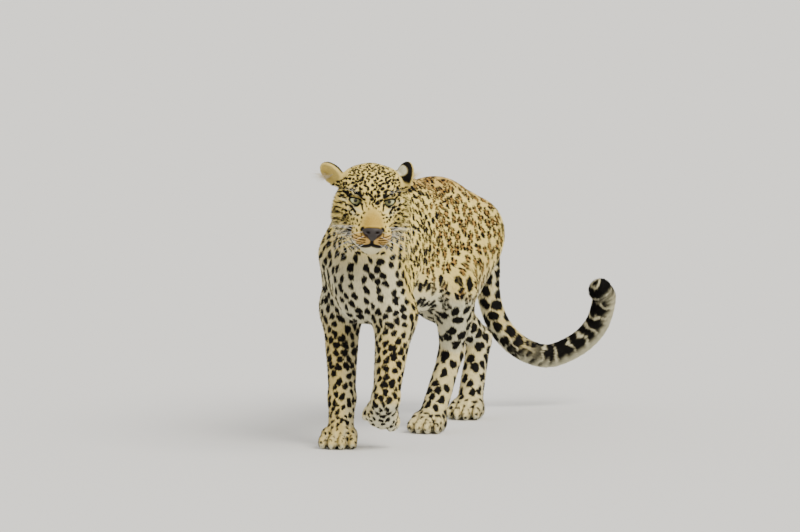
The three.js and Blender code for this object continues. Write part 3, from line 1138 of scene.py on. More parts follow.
def zones() -> list[Zone]:
    """Every zone of the body. Those of the right side serve the left side too.

    Returns:
        The zones of the head, the trunk, the tail and the legs.
    """
    head, neck, side = Region.HEAD, Region.NECK, Region.RIGHT_SIDE
    crown = (head_point((0, 0.0, 0.02)), head_point((0, 0.11, 0.03)))
    cheek = (head_point((0, 0.0, -0.03)), head_point((0, 0.08, -0.05)))
    muzzle = (head_point((0, -0.085, -0.06)), head_point((0, -0.035, -0.04)))
    nape, chest = (0.03, -0.06, 0.52), (0, -0.06, 0.42)
    ribs, flank, rump = (0, 0.22, 0.48), (0, 0.55, 0.48), TRUNK.rump.centre
    back = (0, 0.9, -0.35)
    body = [
        Zone(head, *crown, 0.05, head_turn((0, 1, 0.05)), 0.006, FINE),
        Zone(head, *cheek, 0.055, head_turn((0, 1, -0.25)), 0.0075, CHEEK_FLECKS),
        Zone(head, *muzzle, 0.03, head_turn((0, 1, 0.12)), 0.004, MUZZLE_FLECKS),
        Zone(neck, TRUNK.neck.end, nape, 0.075, (-0.3, 0.9, -0.3), 0.0085, NECK_SPOTS),
        Zone(neck, chest, (0, 0.0, 0.34), 0.09, (0, 0.35, -0.95), 0.016, CHEST_SPOTS),
        Zone(side, (0, 0.02, 0.5), (0, 0.22, 0.5), 0.1, back, 0.0085, SHOULDER_SPOTS),
        Zone(side, ribs, flank, 0.1, back, 0.0085, ROSETTES),
        Zone(side, (0, 0.1, 0.33), (0, 0.46, 0.33), 0.05, (0, 0.9, -0.2), 0.026, BELLY_SPOTS),
        Zone(side, flank, rump, 0.08, (0, 0.8, -0.5), 0.0085, RUMP_ROSETTES),
    ]
    tail = TAIL.points()
    joints = [tail[i] for i in (2, 6, 12, 18, 24, 30, 36)]
    body += [
        Zone(Region.TAIL, tuple(a), tuple(b), 0.03, between(a, b), 0.017, TAIL_SPOTS)
        for a, b in zip(joints, joints[1:])
    ]
    return body + leg_zones()


@dataclass
class Lay:
    """What the zones give at each point: the hair's way and length, and the spots' measures."""

    way: Array
    hair: Array
    spacing: Array
    spot: Array
    ring: Array
    long: Array
    region: Array


def lay_of(p: Array) -> Lay:
    """Blends the zones at each point, weighted by how near each zone's bone is.

    Args:
        p: Points in the animal's own frame.

    Returns:
        The blended lay. Its region is that of the nearest zone.
    """
    away = np.empty((len(ZONES), len(p)))
    for row, zone in enumerate(ZONES):
        away[row] = Limb(zone.start, zone.end, (zone.radius, zone.radius))(p)
    nearest = away.argmin(axis=0)
    weight = np.exp(-(away - away.min(axis=0)) / ZONE_BLEND)
    weight /= weight.sum(axis=0)
    way, hair = (weight.T @ np.array([getattr(zone, name) for zone in ZONES]) for name in ("lie", "hair"))
    marks = {
        name: weight.T @ np.array([getattr(zone.marks, name) for zone in ZONES])
        for name in ("spacing", "spot", "ring", "long")
    }
    region = np.array([zone.region.value for zone in ZONES])[nearest]
    left = (region == Region.RIGHT_SIDE.value) & (p[:, 0] > 0)
    region = np.where(left, Region.LEFT_SIDE.value, region)
    local = HEAD_PLACE.local(p)
    face = smooth(0.13, 0.1, np.linalg.norm(local - [0, 0.02, -0.02], axis=1))
    fan = smooth(0.12, 0.03, local[:, 1]) * face
    outward = np.column_stack([np.tanh(local[:, 0] / 0.03), np.zeros((len(p), 2))])
    way = way + 0.75 * fan[:, None] * HEAD_PLACE.turn(outward)
    return Lay(way=way, hair=hair, region=region, **marks)


ZONES = zones()


# Colours


def shade(red: float, green: float, blue: float) -> Array:
    """A screen colour from 0 to 255, as linear light."""
    c = np.array([red, green, blue]) / 255.0
    return np.where(c <= 0.04045, c / 12.92, ((c + 0.055) / 1.055) ** 2.4)


@dataclass(frozen=True)
class Palette:
    """The colours of the coat and the bare skin."""

    tan: Array = field(default_factory=lambda: shade(248, 220, 128))
    # The back's own darker ochre, made darker still as painted shade on its up-facing top.
    back: Array = field(default_factory=lambda: shade(192, 154, 84))
    pale: Array = field(default_factory=lambda: shade(230, 224, 190))
    cream: Array = field(default_factory=lambda: shade(236, 212, 138))
    ginger: Array = field(default_factory=lambda: shade(176, 126, 58))
    black: Array = field(default_factory=lambda: shade(14, 11, 8))
    ochre: Array = field(default_factory=lambda: shade(184, 148, 58))
    orange: Array = field(default_factory=lambda: shade(218, 172, 98))
    leather: Array = field(default_factory=lambda: shade(40, 28, 22))


INK = Palette()


def mix(a: Array, b: Array, t: Array) -> Array:
    """Goes from one colour to another as t goes from 0 to 1."""
    return a + (b - a) * np.clip(t, 0, 1)[:, None]


def wobble(p: Array, size: float, seed: int) -> Array:
    """A soft random field of about -1 to 1: a sum of waves in random directions.

    Args:
        p: Points.
        size: The length of the longest waves.
        seed: Chooses the waves.

    Returns:
        The field's value at each point.
    """
    rng = np.random.default_rng(seed)
    total = np.zeros(len(p))
    for octave in range(2):
        ways = unit(rng.normal(size=(5, 3))) * (2 * math.pi / size) * 2**octave
        total += np.sin(p @ ways.T + rng.uniform(0, 6.28, 5)).sum(axis=1) / (2.2 * 2**octave)
    return total / 1.7


@dataclass
class Spots:
    """The markings: seeds spread over the skin, each with its own size, shape and way.

    Reach is how far from a seed its mark can end, and slab is about how many points are coloured
    at a time. Warp is how far waves of length wave bend the marks' outlines.
    """

    at: Array
    way: Array
    side: Array
    lay: Lay
    phase: Array
    count: Array
    size: Array
    reach: float = 0.034
    slab: int = 1500
    warp: float = 0.0026
    wave: float = 0.021

    @classmethod
    def spread(cls, surface: Surface, rng: np.random.Generator) -> "Spots":
        """Keeps random points of the skin that are at least the zone's spacing apart.

        Args:
            surface: The skin.
            rng: The source of chance.

        Returns:
            The seeds.
        """
        normals = surface.normals()
        pick = rng.permutation(len(surface.points))[:MOST_TRIES]
        p, n = surface.points[pick], normals[pick]
        lay = lay_of(p)
        tries = 0.92 * lay.spacing * rng.uniform(0.86, 1.08, len(p))
        kept = np.empty((len(p), 3), dtype=np.float32)
        room = np.empty(len(p), dtype=np.float32)
        chosen: list[int] = []
        for i, spot in enumerate(p.astype(np.float32)):
            m = len(chosen)
            gap = ((kept[:m] - spot) ** 2).sum(axis=1)
            if m and (gap < (0.5 * (room[:m] + tries[i])) ** 2).any():
                continue
            kept[m], room[m] = spot, tries[i]
            chosen.append(i)
        pick = np.array(chosen)
        q, m = p[pick], n[pick]
        own = lay_of(q)
        way = unit(own.way - m * (own.way * m).sum(1, keepdims=True))
        way = unit(way + 0.35 * rng.normal(size=way.shape))
        way = unit(way - m * (way * m).sum(1, keepdims=True))
        return cls(
            at=q,
            way=way,
            side=np.cross(m, way),
            lay=own,
            phase=rng.uniform(0, 2 * math.pi, len(q)),
            count=rng.integers(3, 6, len(q)),
            size=rng.uniform(0.84, 1.16, len(q)),
        )

    def dark(self, p: Array) -> tuple[Array, Array]:
        """How black each point is, and how far it is inside a rosette's ginger middle.

        A solid spot is dark inside its radius, which waves a little round it. A rosette is dark in
        a few blots along its ring. Points go through in slabs along Y with the seeds near them.

        Args:
            p: Points in the animal's own frame.

        Returns:
            Black and ginger, each from 0 to 1.
        """
        black, ginger = np.zeros(len(p)), np.zeros(len(p))
        warp = np.column_stack([wobble(p, self.wave, 31 + a) for a in range(3)])
        order = np.argsort(p[:, 1])
        seeds = np.argsort(self.at[:, 1])
        levels = self.at[seeds, 1]
        for part in np.array_split(order, max(1, len(p) // self.slab)):
            if not len(part):
                continue
            y = p[part, 1]
            first, last = np.searchsorted(levels, [y.min() - self.reach, y.max() + self.reach])
            s = seeds[first:last]
            if len(s) < 2:
                continue
            q = p[part] + self.warp * warp[part]
            apart = np.linalg.norm(q[:, None, :] - self.at[s][None], axis=2)
            apart = apart / self.lay.spacing[s]
            two = np.argpartition(apart, 1, axis=1)[:, :2]
            rank = np.take_along_axis(apart, two, axis=1)
            best = s[np.where(rank[:, 0] < rank[:, 1], two[:, 0], two[:, 1])]
            rift = np.abs(rank[:, 0] - rank[:, 1])
            d = q - self.at[best]
            u = (d * self.way[best]).sum(1) / np.sqrt(self.lay.long[best])
            v = (d * self.side[best]).sum(1) * np.sqrt(self.lay.long[best])
            size = self.lay.spot[best] * self.size[best]
            r = np.hypot(u, v) / size
            turn = np.arctan2(v, u)
            phase, count = self.phase[best], self.count[best]
            lobes = 1 + 0.15 * np.sin(2 * turn + phase) + 0.1 * np.sin(3 * turn + 2 * phase)
            solid = smooth(1.1, 0.94, r / lobes)
            band = smooth(0.42, 0.34, np.abs(r / lobes - 0.62))
            blots = smooth(-0.88, -0.7, np.cos(count * turn + phase))
            ring = smooth(0.35, 0.55, self.lay.ring[best] + 0.3 * np.sin(7 * phase))
            dark = solid * (1 - ring) + np.minimum(band, blots) * ring
            black[part] = dark * smooth(0.02, 0.07, rift)
            ginger[part] = smooth(0.75, 0.45, r / lobes) * ring
        return black, ginger


@dataclass(frozen=True)
class Stroke:
    """A dark mark on the face, from one point to another seen from the front, on both sides."""

    start: tuple[float, float]
    end: tuple[float, float]
    width: float
    strength: float = 1.0

    def dark(self, x: Array, z: Array) -> Array:
        """How dark the mark makes each point of the face.

        Args:
            x: How far the points are from the middle of the face.
            z: Their heights in the head's frame.

        Returns:
            Darkness, from 0 to 1.
        """
        a = np.array(self.start)
        axis = np.array(self.end) - a
        d = np.column_stack([x, z]) - a
        h = np.clip(d @ axis / max(axis @ axis, 1e-9), 0, 1)
        away = np.linalg.norm(d - h[:, None] * axis, axis=1)
        narrow = self.width * (1 - 0.45 * h)
        return self.strength * smooth(1.25, 0.75, away / narrow)


@dataclass(frozen=True)
class Patch:
    """A soft oval on both sides of the face, seen from the front."""

    x: float
    z: float
    wide: float
    high: float

    def cover(self, x: Array, z: Array) -> Array:
        """How far inside the oval each point of the face is."""
        return smooth(1.3, 0.6, np.hypot((x - self.x) / self.wide, (z - self.z) / self.high))


LIP_PAD = Patch(0.026, -0.068, 0.027, 0.017)
EYE_SKIN = Patch(0.0385, -0.002, 0.023, 0.014)
FACE_LIGHTS = (
    Patch(0.044, -0.0105, 0.02, 0.003),
    Patch(0.046, -0.020, 0.016, 0.003),
    Patch(0.034, 0.017, 0.014, 0.004),
    Patch(0.064, 0.0, 0.010, 0.004),
)
NOSE_WING = (0.0225, -0.081, -0.043)
FACE_STROKES = (
    Stroke((0.040, -0.0150), (0.057, -0.0085), 0.0030),
    Stroke((0.053, 0.008), (0.072, 0.021), 0.0032),
    Stroke((0.0255, 0.001), (0.0232, -0.008), 0.0030),
    Stroke((0.028, 0.014), (0.031, 0.030), 0.0042),
    Stroke((0.041, 0.020), (0.047, 0.028), 0.0032),
    Stroke((0.0265, -0.048), (0.0235, -0.062), 0.0022, 0.8),
    Stroke((0.047, -0.066), (0.052, -0.088), 0.0044),
    Stroke((0.017, -0.060), (0.045, -0.057), 0.0018),
    Stroke((0.016, -0.0665), (0.047, -0.065), 0.0019),
    Stroke((0.016, -0.073), (0.047, -0.0735), 0.0019),
    Stroke((0.020, -0.079), (0.044, -0.081), 0.0016),
)


def coat_colour(p: Array, normal: Array, spots: Spots) -> Array:
    """The coat's colour at each point: the ground, the rosettes and spots, and the marks of the face.

    Args:
        p: Points in the animal's own frame.
        normal: The skin's normals there.
        spots: The markings.

    Returns:
        Red, green and blue for each point.
    """
    z = p[:, 2]
    body = 1 - smooth(0.15, 0.12, from_head(p))
    white = whiteness(p, normal) * body
    # The back's up-facing top takes its own darker ochre, deepened as painted shade.
    back_tone_and_shade = smooth(0.3, 0.95, normal[:, 2]) * smooth(0.48, 0.58, z)
    colour = mix(np.tile(INK.tan, (len(p), 1)), INK.back, 0.8 * back_tone_and_shade * body)
    colour = mix(colour, INK.cream, 0.9 * smooth(0.42, 0.26, z))
    colour = mix(colour, INK.pale, white)
    colour *= (1 + 0.06 * wobble(p, 0.09, 5) + 0.04 * wobble(p, 0.02, 6))[:, None]
    black, ginger = spots.dark(p)
    colour = mix(colour, INK.ginger, 0.85 * ginger * (1 - white))
    colour, black = tail_colour(p, colour, black)
    colour, black = face_colour(p, colour, black)
    colour, black = ear_colour(p, normal, colour, black)
    return np.clip(mix(colour, INK.black, black), 0, 1)


def whiteness(p: Array, normal: Array) -> Array:
    """How white the coat is: on the chest, the belly, the thighs and the inner sides of the legs.

    Args:
        p: Points in the animal's own frame.
        normal: The skin's normals there.

    Returns:
        White, from 0 to 1.
    """
    _, y, z = p.T
    under = smooth(0.1, -0.6, normal[:, 2]) * smooth(0.46, 0.3, z)
    facing = 0.85 * smooth(0.1, 0.7, -normal[:, 1])
    chest = facing * smooth(0.52, 0.4, z) * smooth(0.24, 0.34, z) * smooth(0.12, 0.0, y)
    inner = np.zeros(len(p))
    for leg in FORE + HIND:
        joint, foot = leg.shank()
        bones = ((joint, foot), (foot, leg.ball))
        away = np.min([Limb(a, b, (0.03, 0.03))(p) for a, b in bones], axis=0)
        inward = smooth(-0.2, -0.85, normal[:, 0] * math.copysign(1.0, joint[0]))
        inner = np.maximum(inner, smooth(0.04, 0.01, away) * inward * smooth(0.36, 0.3, z))
    thigh = 0.35 * smooth(0.36, 0.26, z) * smooth(0.22, 0.3, y) * smooth(0.8, 0.76, y)
    return np.maximum.reduce([under, chest, 0.55 * inner, thigh])


def tail_colour(p: Array, colour: Array, black: Array) -> tuple[Array, Array]:
    """Black blocks between pale lines on the outer tail, and a white underside.

    Args:
        p: Points in the animal's own frame.
        colour: The ground so far.
        black: The black so far.

    Returns:
        The new ground and black.
    """
    line = TAIL.points()
    near_tail = np.where(lay_of(p).region == Region.TAIL.value)[0]
    q = p[near_tail]
    apart = np.linalg.norm(q[:, None] - line[None], axis=2)
    at = apart.argmin(axis=1)
    ahead = unit(np.gradient(line, axis=0))[at]
    along = at / TAIL.steps + ((q - line[at]) * ahead).sum(1) / 0.8
    outward = unit(q - line[at])
    below = smooth(-0.1, -0.75, outward @ unit(np.array([-0.55, -0.35, 0.75])))
    spacing = 0.052
    wave = 0.012 * wobble(q, 0.05, 12)
    saw = np.abs(((along + wave) / spacing) % 1.0 - 0.5) * 2
    blocks = smooth(0.93, 0.82, saw)
    outer = smooth(0.46, 0.58, along)
    ground = mix(colour[near_tail], INK.pale, np.maximum(0.85 * below, 0.8 * outer))
    dark = black[near_tail] * (1 - outer) + blocks * outer * (1 - 0.9 * below)
    tip = smooth(0.985, 1.01, along)
    colour[near_tail] = mix(ground, INK.pale, tip * below)
    black[near_tail] = dark
    return colour, black


def face_colour(p: Array, colour: Array, black: Array) -> tuple[Array, Array]:
    """The face's plain bridge, pale patches, dark strokes and lips.

    Args:
        p: Points in the animal's own frame.
        colour: The ground so far.
        black: The black so far.

    Returns:
        The new ground and black.
    """
    half = folded(p)
    x, y, z = half.T
    on = smooth(0.16, 0.13, from_head(p))
    front = on * smooth(0.03, 0.0, y)
    slim = smooth(0.029, 0.008, x - 0.22 * np.maximum(0, -z))
    bridge = front * slim * smooth(0.016, -0.02, z + 0.4 * x)
    pads = front * LIP_PAD.cover(x, z)
    lips = front * smooth(-0.077, -0.082, z + 0.22 * x) * smooth(0.055, 0.035, x)
    jaw = on * smooth(-0.045, -0.085, z) * smooth(0.03, 0.055, x)
    pale = np.maximum.reduce([lips, 0.75 * jaw, on * smooth(-0.09, -0.1, z)])
    light = np.maximum.reduce([front * patch.cover(x, z) for patch in FACE_LIGHTS])
    nose = np.minimum(HEAD.pad()(half), HEAD.nostril()(half))
    colour = mix(colour, INK.ochre, 0.85 * bridge * smooth(-0.085, -0.06, z))
    colour = mix(colour, INK.orange, 0.8 * pads)
    colour = mix(colour, INK.pale, 0.85 * pale)
    colour = mix(colour, INK.pale, 0.5 * light)
    colour = mix(colour, INK.leather, on * smooth(0.004, 0.0015, nose))
    plain = np.maximum.reduce([bridge, pads, lips, front * EYE_SKIN.cover(x, z)])
    black = black * smooth(0.55, 0.35, plain)
    strokes = np.max([stroke.dark(x, z) for stroke in FACE_STROKES], axis=0)
    lid = HEAD.opening()(half) - 0.002 * smooth(-0.004, 0.004, z)
    rim = smooth(0.0034, 0.0014, lid) * smooth(0.012, -0.012, y)
    mouth = smooth(0.0042, 0.0014, HEAD.mouth()(half))
    wing = smooth(0.0042, 0.0014, np.linalg.norm(half - NOSE_WING, axis=1) - 0.0035)
    black = np.maximum.reduce([black, front * strokes, on * rim, on * mouth, on * wing])
    return colour, black


def ear_colour(p: Array, normal: Array, colour: Array, black: Array) -> tuple[Array, Array]:
    """The ears: tan dimmed by painted shade in the cup, and black with a white patch behind.

    Args:
        p: Points in the animal's own frame.
        normal: The skin's normals there.
        colour: The ground so far.
        black: The black so far.

    Returns:
        The new ground and black.
    """
    q = HEAD_PLACE.local(p)
    for ear in EARS:
        place = ear.place()
        e = place.local(q)
        inside = (np.all(np.abs(e) < [0.036, 0.03, 0.042], axis=1) & (e[:, 2] > -0.018)).astype(float)
        facing = (normal @ HEAD_PLACE.axes) @ place.axes[:, 1]
        back = inside * smooth(-0.15, 0.25, facing)
        white = back * smooth(1.15, 0.85, np.hypot(e[:, 0] / 0.016, (e[:, 2] - 0.012) / 0.012))
        dark = back * (1 - white) * smooth(-0.016, -0.006, e[:, 2])
        black = black * (1 - inside) + dark
        # The cup's darker tan is the ear's own tan dimmed as painted shade in its hollow.
        colour = mix(colour, 0.78 * INK.tan, 0.9 * inside * (1 - back))
        colour = mix(colour, INK.pale, white)
    return colour, black


# Skin and coat


def bare(p: Array) -> Array:
    """How bare the skin is: 1 on the lids' rims, the lips' line and the nose, and 0 in the coat.

    Args:
        p: Points in the animal's own frame.

    Returns:
        Bareness, from 0 to 1.
    """
    q = folded(p)
    away = np.minimum.reduce([HEAD.opening()(q), HEAD.pad()(q) - 0.0005, HEAD.mouth()(q)])
    return smooth(0.006, 0.0015, away)


def in_ear(p: Array) -> Array:
    """How near points are to an ear.

    Args:
        p: Points in the animal's own frame.

    Returns:
        Nearness, from 0 to 1.
    """
    q = HEAD_PLACE.local(p)
    close = np.zeros(len(p))
    for ear in EARS:
        away = np.linalg.norm(ear.place().local(q) - [0, 0, 0.002], axis=1)
        close = np.maximum(close, smooth(0.046, 0.036, away))
    return close


def ruff_at(p: Array) -> Array:
    """Where the longer hair of the cheeks stands out: behind and below the eyes.

    Args:
        p: Points in the animal's own frame.

    Returns:
        How much ruff there is, from 0 to 1.
    """
    x, y, z = folded(p).T
    behind = smooth(-0.025, 0.015, y) * smooth(0.11, 0.08, y)
    return behind * smooth(0.035, 0.055, x) * smooth(0.03, -0.01, z) * smooth(-0.11, -0.085, z)


@dataclass(frozen=True)
class Depths:
    """How far the coat stands off the skin on the body, the head, the feet and the ears."""

    body: float = 0.0032
    less_on_head: float = 0.0008
    feet: float = 0.0024
    ears: float = 0.0012

    def at(self, p: Array) -> Array:
        """The coat's depth at each point, nothing where the skin is bare or on the floor.

        Args:
            p: Points in the animal's own frame.

        Returns:
            Depths in metres.
        """
        head = smooth(0.19, 0.13, from_head(p))
        low = smooth(0.2, 0.08, p[:, 2]) * smooth(0.85, 0.8, p[:, 1])
        depth = self.body - self.less_on_head * head
        depth = depth + (self.feet - depth) * low
        depth = depth + (self.ears - depth) * in_ear(p)
        naked = np.where(head > 0.5, bare(p), 0.0)
        return depth * (1 - naked) * smooth(0.0, 0.004, p[:, 2])


DEPTHS = Depths()


def skin_form() -> Field:
    """The body less the depth of its coat, and less the eyeballs.

    Returns:
        The field.
    """
    body = animal()
    eye = np.array(HEAD.eye)

    def skin(p: Array) -> Array:
        """The body's field with the coat's depth added near its surface.

        Args:
            p: Points, one in each row.

        Returns:
            Signed distances, negative inside.
        """
        value = body(p)
        close = np.abs(value) < 0.03
        value[close] += DEPTHS.at(p[close])
        ball = HEAD.eye_radius + 0.0002 - np.linalg.norm(folded(p) - eye, axis=1)
        return np.maximum(value, ball)

    return skin


@dataclass(frozen=True)
class Skin:
    """The skin of the whole body, finer on the head, with its seam behind the ears."""

    step: float = 0.0048
    low: Vec = (-0.16, -0.3, -0.02)
    high: Vec = (0.27, 1.08, 0.72)
    head_step: float = 0.0025
    head_low: Vec = (-0.155, -0.13, -0.155)
    head_high: Vec = (0.155, 0.155, 0.12)
    seam: float = 0.095
    overlap: float = 0.006
    body_from: float = 0.21
    head_to: float = 0.2
    # The skin keeps this share of the coat's colours: painted shade under the hair.
    painted_hair_shade: float = 0.85

    def surface(self) -> Surface:
        """Meshes the body and the head and joins them behind the ears, where the coat hides it.

        Returns:
            The skin.
        """
        form = skin_form()
        body = Mesher(self.low, self.high, self.step).surface(form)
        low, high = (np.array(HEAD.origin) + corner for corner in (self.head_low, self.head_high))
        head = Mesher(tuple(low), tuple(high), self.head_step).surface(form)
        far = HEAD_PLACE.local(body.points)
        rest = body.kept((far[:, 1] > self.seam) | (np.linalg.norm(far, axis=1) > self.body_from))
        close = HEAD_PLACE.local(head.points)
        front = (close[:, 1] < self.seam + self.overlap) & (np.linalg.norm(close, axis=1) < self.head_to)
        return rest.with_other(head.kept(front))

    def build(self, surface: Surface, spots: Spots, finish: bpy.types.Material) -> bpy.types.Object:
        """Makes the skin's piece, in the coat's colours dimmed as painted shade under the hair.

        Args:
            surface: The skin.
            spots: The markings.
            finish: Its material.

        Returns:
            The piece.
        """
        thing = build_mesh("skin", surface)
        colours = coat_colour(surface.points, surface.normals(), spots)
        # The skin takes the coat's colours dimmed, as painted shade under the hair.
        paint(thing, COAT_COLOUR, self.painted_hair_shade * colours)
        declare(thing, finish, COAT_SLOT, *FLESH)
        return thing


@dataclass(frozen=True)
class CoatPiece:
    """One piece of the coat, with the number of its tufts and their width at the root."""

    name: str
    region: Region
    tufts: int
    width: float


COAT = (
    CoatPiece("coat_head", Region.HEAD, 48000, 0.0011),
    CoatPiece("coat_neck", Region.NECK, 46000, 0.0018),
    CoatPiece("coat_right_side", Region.RIGHT_SIDE, 48000, 0.0022),
    CoatPiece("coat_left_side", Region.LEFT_SIDE, 48000, 0.0022),
    CoatPiece("coat_forelegs", Region.FORELEGS, 46000, 0.0017),
    CoatPiece("coat_hind_legs", Region.HINDLEGS, 48000, 0.002),
    CoatPiece("coat_tail", Region.TAIL, 32000, 0.0019),
)


@dataclass
class Coat:
    """Grows the coat on a skin.

    Trim is the share of the zones' hair length that the tufts have. Scatter is how far they stray
    from the lie. Flattest and steepest bound the sine of their angle with the skin. Lean and rough
    tip the normals that light the coat, against its lie and at random. The ruff's hair is longer,
    steeper and ends further out by the amounts that start with ruff. Middle and end are where
    along a tuft its two colours are found. Shades darken its root as painted shade and brighten its
    tip as a painted highlight. Patch is half the size of a tuft in the bake map.
    """

    skin: Surface
    spots: Spots
    rng: np.random.Generator
    trim: float = 0.64
    scatter: float = 0.17
    flattest: float = 0.1
    steepest: float = 0.6
    least_depth: float = 0.0006
    ear_trim: float = 0.45
    lean: float = 0.35
    rough: float = 0.15
    ruff_longer: float = 1.6
    ruff_steeper: float = 0.25
    ruff_further: float = 0.013
    middle: float = 0.5
    end: float = 0.75
    # Shades for a tuft's four points: painted shade on the three at the root, a painted highlight on the
    # tip.
    shades: tuple[float, float, float, float] = (0.82, 0.82, 0.88, 1.06)
    patch: float = 0.0015

    def regions(self) -> Array:
        """The region of each of the skin's triangles."""
        middle = self.skin.points[self.skin.triangles].mean(axis=1)
        return lay_of(middle).region

    def roots(self, faces: Array, count: int) -> tuple[Array, Array]:
        """Random points on some of the skin's triangles, even over their area, and the normals there.

        Args:
            faces: The triangles.
            count: How many points.

        Returns:
            The points and their normals.
        """
        t = self.skin.triangles[faces]
        p = self.skin.points[t]
        area = np.linalg.norm(np.cross(p[:, 1] - p[:, 0], p[:, 2] - p[:, 0]), axis=1)
        edges = np.cumsum(area)
        pick = np.searchsorted(edges, self.rng.uniform(0, edges[-1], count))
        pick = np.minimum(pick, len(t) - 1)
        a, b = self.rng.uniform(0, 1, (2, count))
        over = a + b > 1
        a, b = np.where(over, 1 - a, a), np.where(over, 1 - b, b)
        share = np.column_stack([1 - a - b, a, b])[:, :, None]
        normals = self.skin.normals()[t[pick]]
        return (p[pick] * share).sum(axis=1), unit((normals * share).sum(axis=1))

    def grow(self, piece: CoatPiece, faces: Array) -> tuple[Surface, Array, Array, Array]:
        """Makes the tufts of one piece.

        A tuft is a flat spike of four triangles. It leaves the skin at a low angle, along the lie
        of the coat, and ends about where the body's form does.

        Args:
            piece: The piece.
            faces: The skin's triangles that it grows on.

        Returns:
            The tufts' surface, the colours and normals of its points, and their places in the bake map.
        """
        root, normal = self.roots(faces, piece.tufts)
        stay = (bare(root) < 0.5) & (root[:, 2] > 0.004)
        root, normal = root[stay], normal[stay]
        lay = lay_of(root)
        count = len(root)
        way = unit(lay.way) + self.scatter * self.rng.normal(size=(count, 3))
        way = unit(way - normal * (way * normal).sum(1, keepdims=True))
        length = self.trim * lay.hair * self.rng.uniform(0.7, 1.25, count)
        ruff = ruff_at(root)
        length *= (1 - self.ear_trim * in_ear(root)) * (1 + self.ruff_longer * ruff)
        depth = np.maximum(DEPTHS.at(root), self.least_depth) + self.ruff_further * ruff
        rise = depth * self.rng.uniform(0.75, 1.3, count) / length
        lift = np.clip(rise, self.flattest, self.steepest + self.ruff_steeper * ruff)
        run = np.sqrt(1 - lift**2)
        ahead = run[:, None] * way + lift[:, None] * normal
        width = piece.width * self.rng.uniform(0.75, 1.25, count)
        surface = tuft_mesh(root, ahead * length[:, None], normal, np.cross(normal, way), width)
        colours = self.colours(root, ahead, length, normal)
        soft = unit(normal - self.lean * way + self.rough * self.rng.normal(size=(count, 3)))
        uv = np.repeat(bake_place(root, piece.region), 4, axis=0)
        corners = self.patch * np.array([[-1, -1], [1, -1], [0, 0.2], [0, 1]])
        return surface, colours, np.repeat(soft, 4, axis=0), uv + np.tile(corners, (count, 1))

    def colours(self, root: Array, ahead: Array, length: Array, normal: Array) -> Array:
        """The coat's colour under the middle and under the end of each tuft, dimmed at its root as painted
        shade and brightened at its tip as a painted highlight.

        Args:
            root: Where the tufts leave the skin.
            ahead: The way that they point.
            length: Their lengths.
            normal: The skin's normals at the roots.

        Returns:
            Red, green and blue for each tuft's four points.
        """
        low = coat_colour(root + self.middle * length[:, None] * ahead, normal, self.spots)
        high = coat_colour(root + self.end * length[:, None] * ahead, normal, self.spots)
        # Painted shade at each tuft's root and a painted highlight at its tip.
        colour = np.stack([by * ink for by, ink in zip(self.shades, (low, low, low, high))], 1)
        colour *= self.rng.uniform(0.88, 1.1, (len(root), 1, 1))
        return np.clip(colour, 0, 1).reshape(-1, 3)

    def build(self, piece: CoatPiece, faces: Array, finish: bpy.types.Material) -> bpy.types.Object:
        """Makes one piece of the coat.

        Args:
            piece: The piece.
            faces: The skin's triangles that it grows on.
            finish: Its material.

        Returns:
            The piece.
        """
        surface, colours, normals, uv = self.grow(piece, faces)
        thing = build_mesh(piece.name, surface)
        paint(thing, COAT_COLOUR, colours)
        add_map(thing, BAKE_MAP, uv)
        thing.data.normals_split_custom_set_from_vertices(normals.tolist())
        declare(thing, finish, COAT_SLOT)
        return thing


def tuft_mesh(root: Array, ahead: Array, normal: Array, side: Array, width: Array) -> Surface:
    """Closed flat spikes of four triangles each.

    Args:
        root: Where the tufts leave the skin.
        ahead: From each root to its tip.
        normal: The skin's normals at the roots.
        side: Across each tuft.
        width: The tufts' widths at the root.

    Returns:
        One surface, with four points for each tuft: three round the root, and the tip.
    """
    wide = width[:, None]
    sunk = root - 0.0004 * normal
    corners = [
        sunk + 0.5 * wide * side,
        sunk - 0.5 * wide * side,
        root + 0.24 * wide * normal - 0.2 * wide * unit(ahead),
        root + ahead,
    ]
    points = np.stack(corners, axis=1).reshape(-1, 3)
    points[:, 2] = np.maximum(points[:, 2], 0.0004)
    faces = np.array([[0, 1, 2], [0, 3, 1], [1, 3, 2], [2, 3, 0]])
    first = 4 * np.arange(len(root))[:, None, None]
    return Surface(points, (first + faces[None]).reshape(-1, 3))


def around(p: Array, start: Vec, end: Vec, up: Vec) -> Array:
    """Unrolls points round a bone: the angle round it, and how far along it, both from 0 to 1.

    Args:
        p: Points in the animal's own frame.
        start: Where the bone starts.
        end: Where it ends.
        up: The side where the angle is in the middle of its range.

    Returns:
        The angle and the place along the bone, in two columns.
    """
    a = np.array(start)
    axis = unit(np.array(end) - a)
    side = unit(np.cross(axis, np.array(up)))
    top = np.cross(side, axis)
    d = p - a
    angle = np.arctan2(d @ side, d @ top) / (2 * math.pi) + 0.5
    along = (d @ axis) / np.linalg.norm(np.array(end) - a)
    return np.column_stack([angle, np.clip(0.1 + 0.8 * along, 0.01, 0.99)])


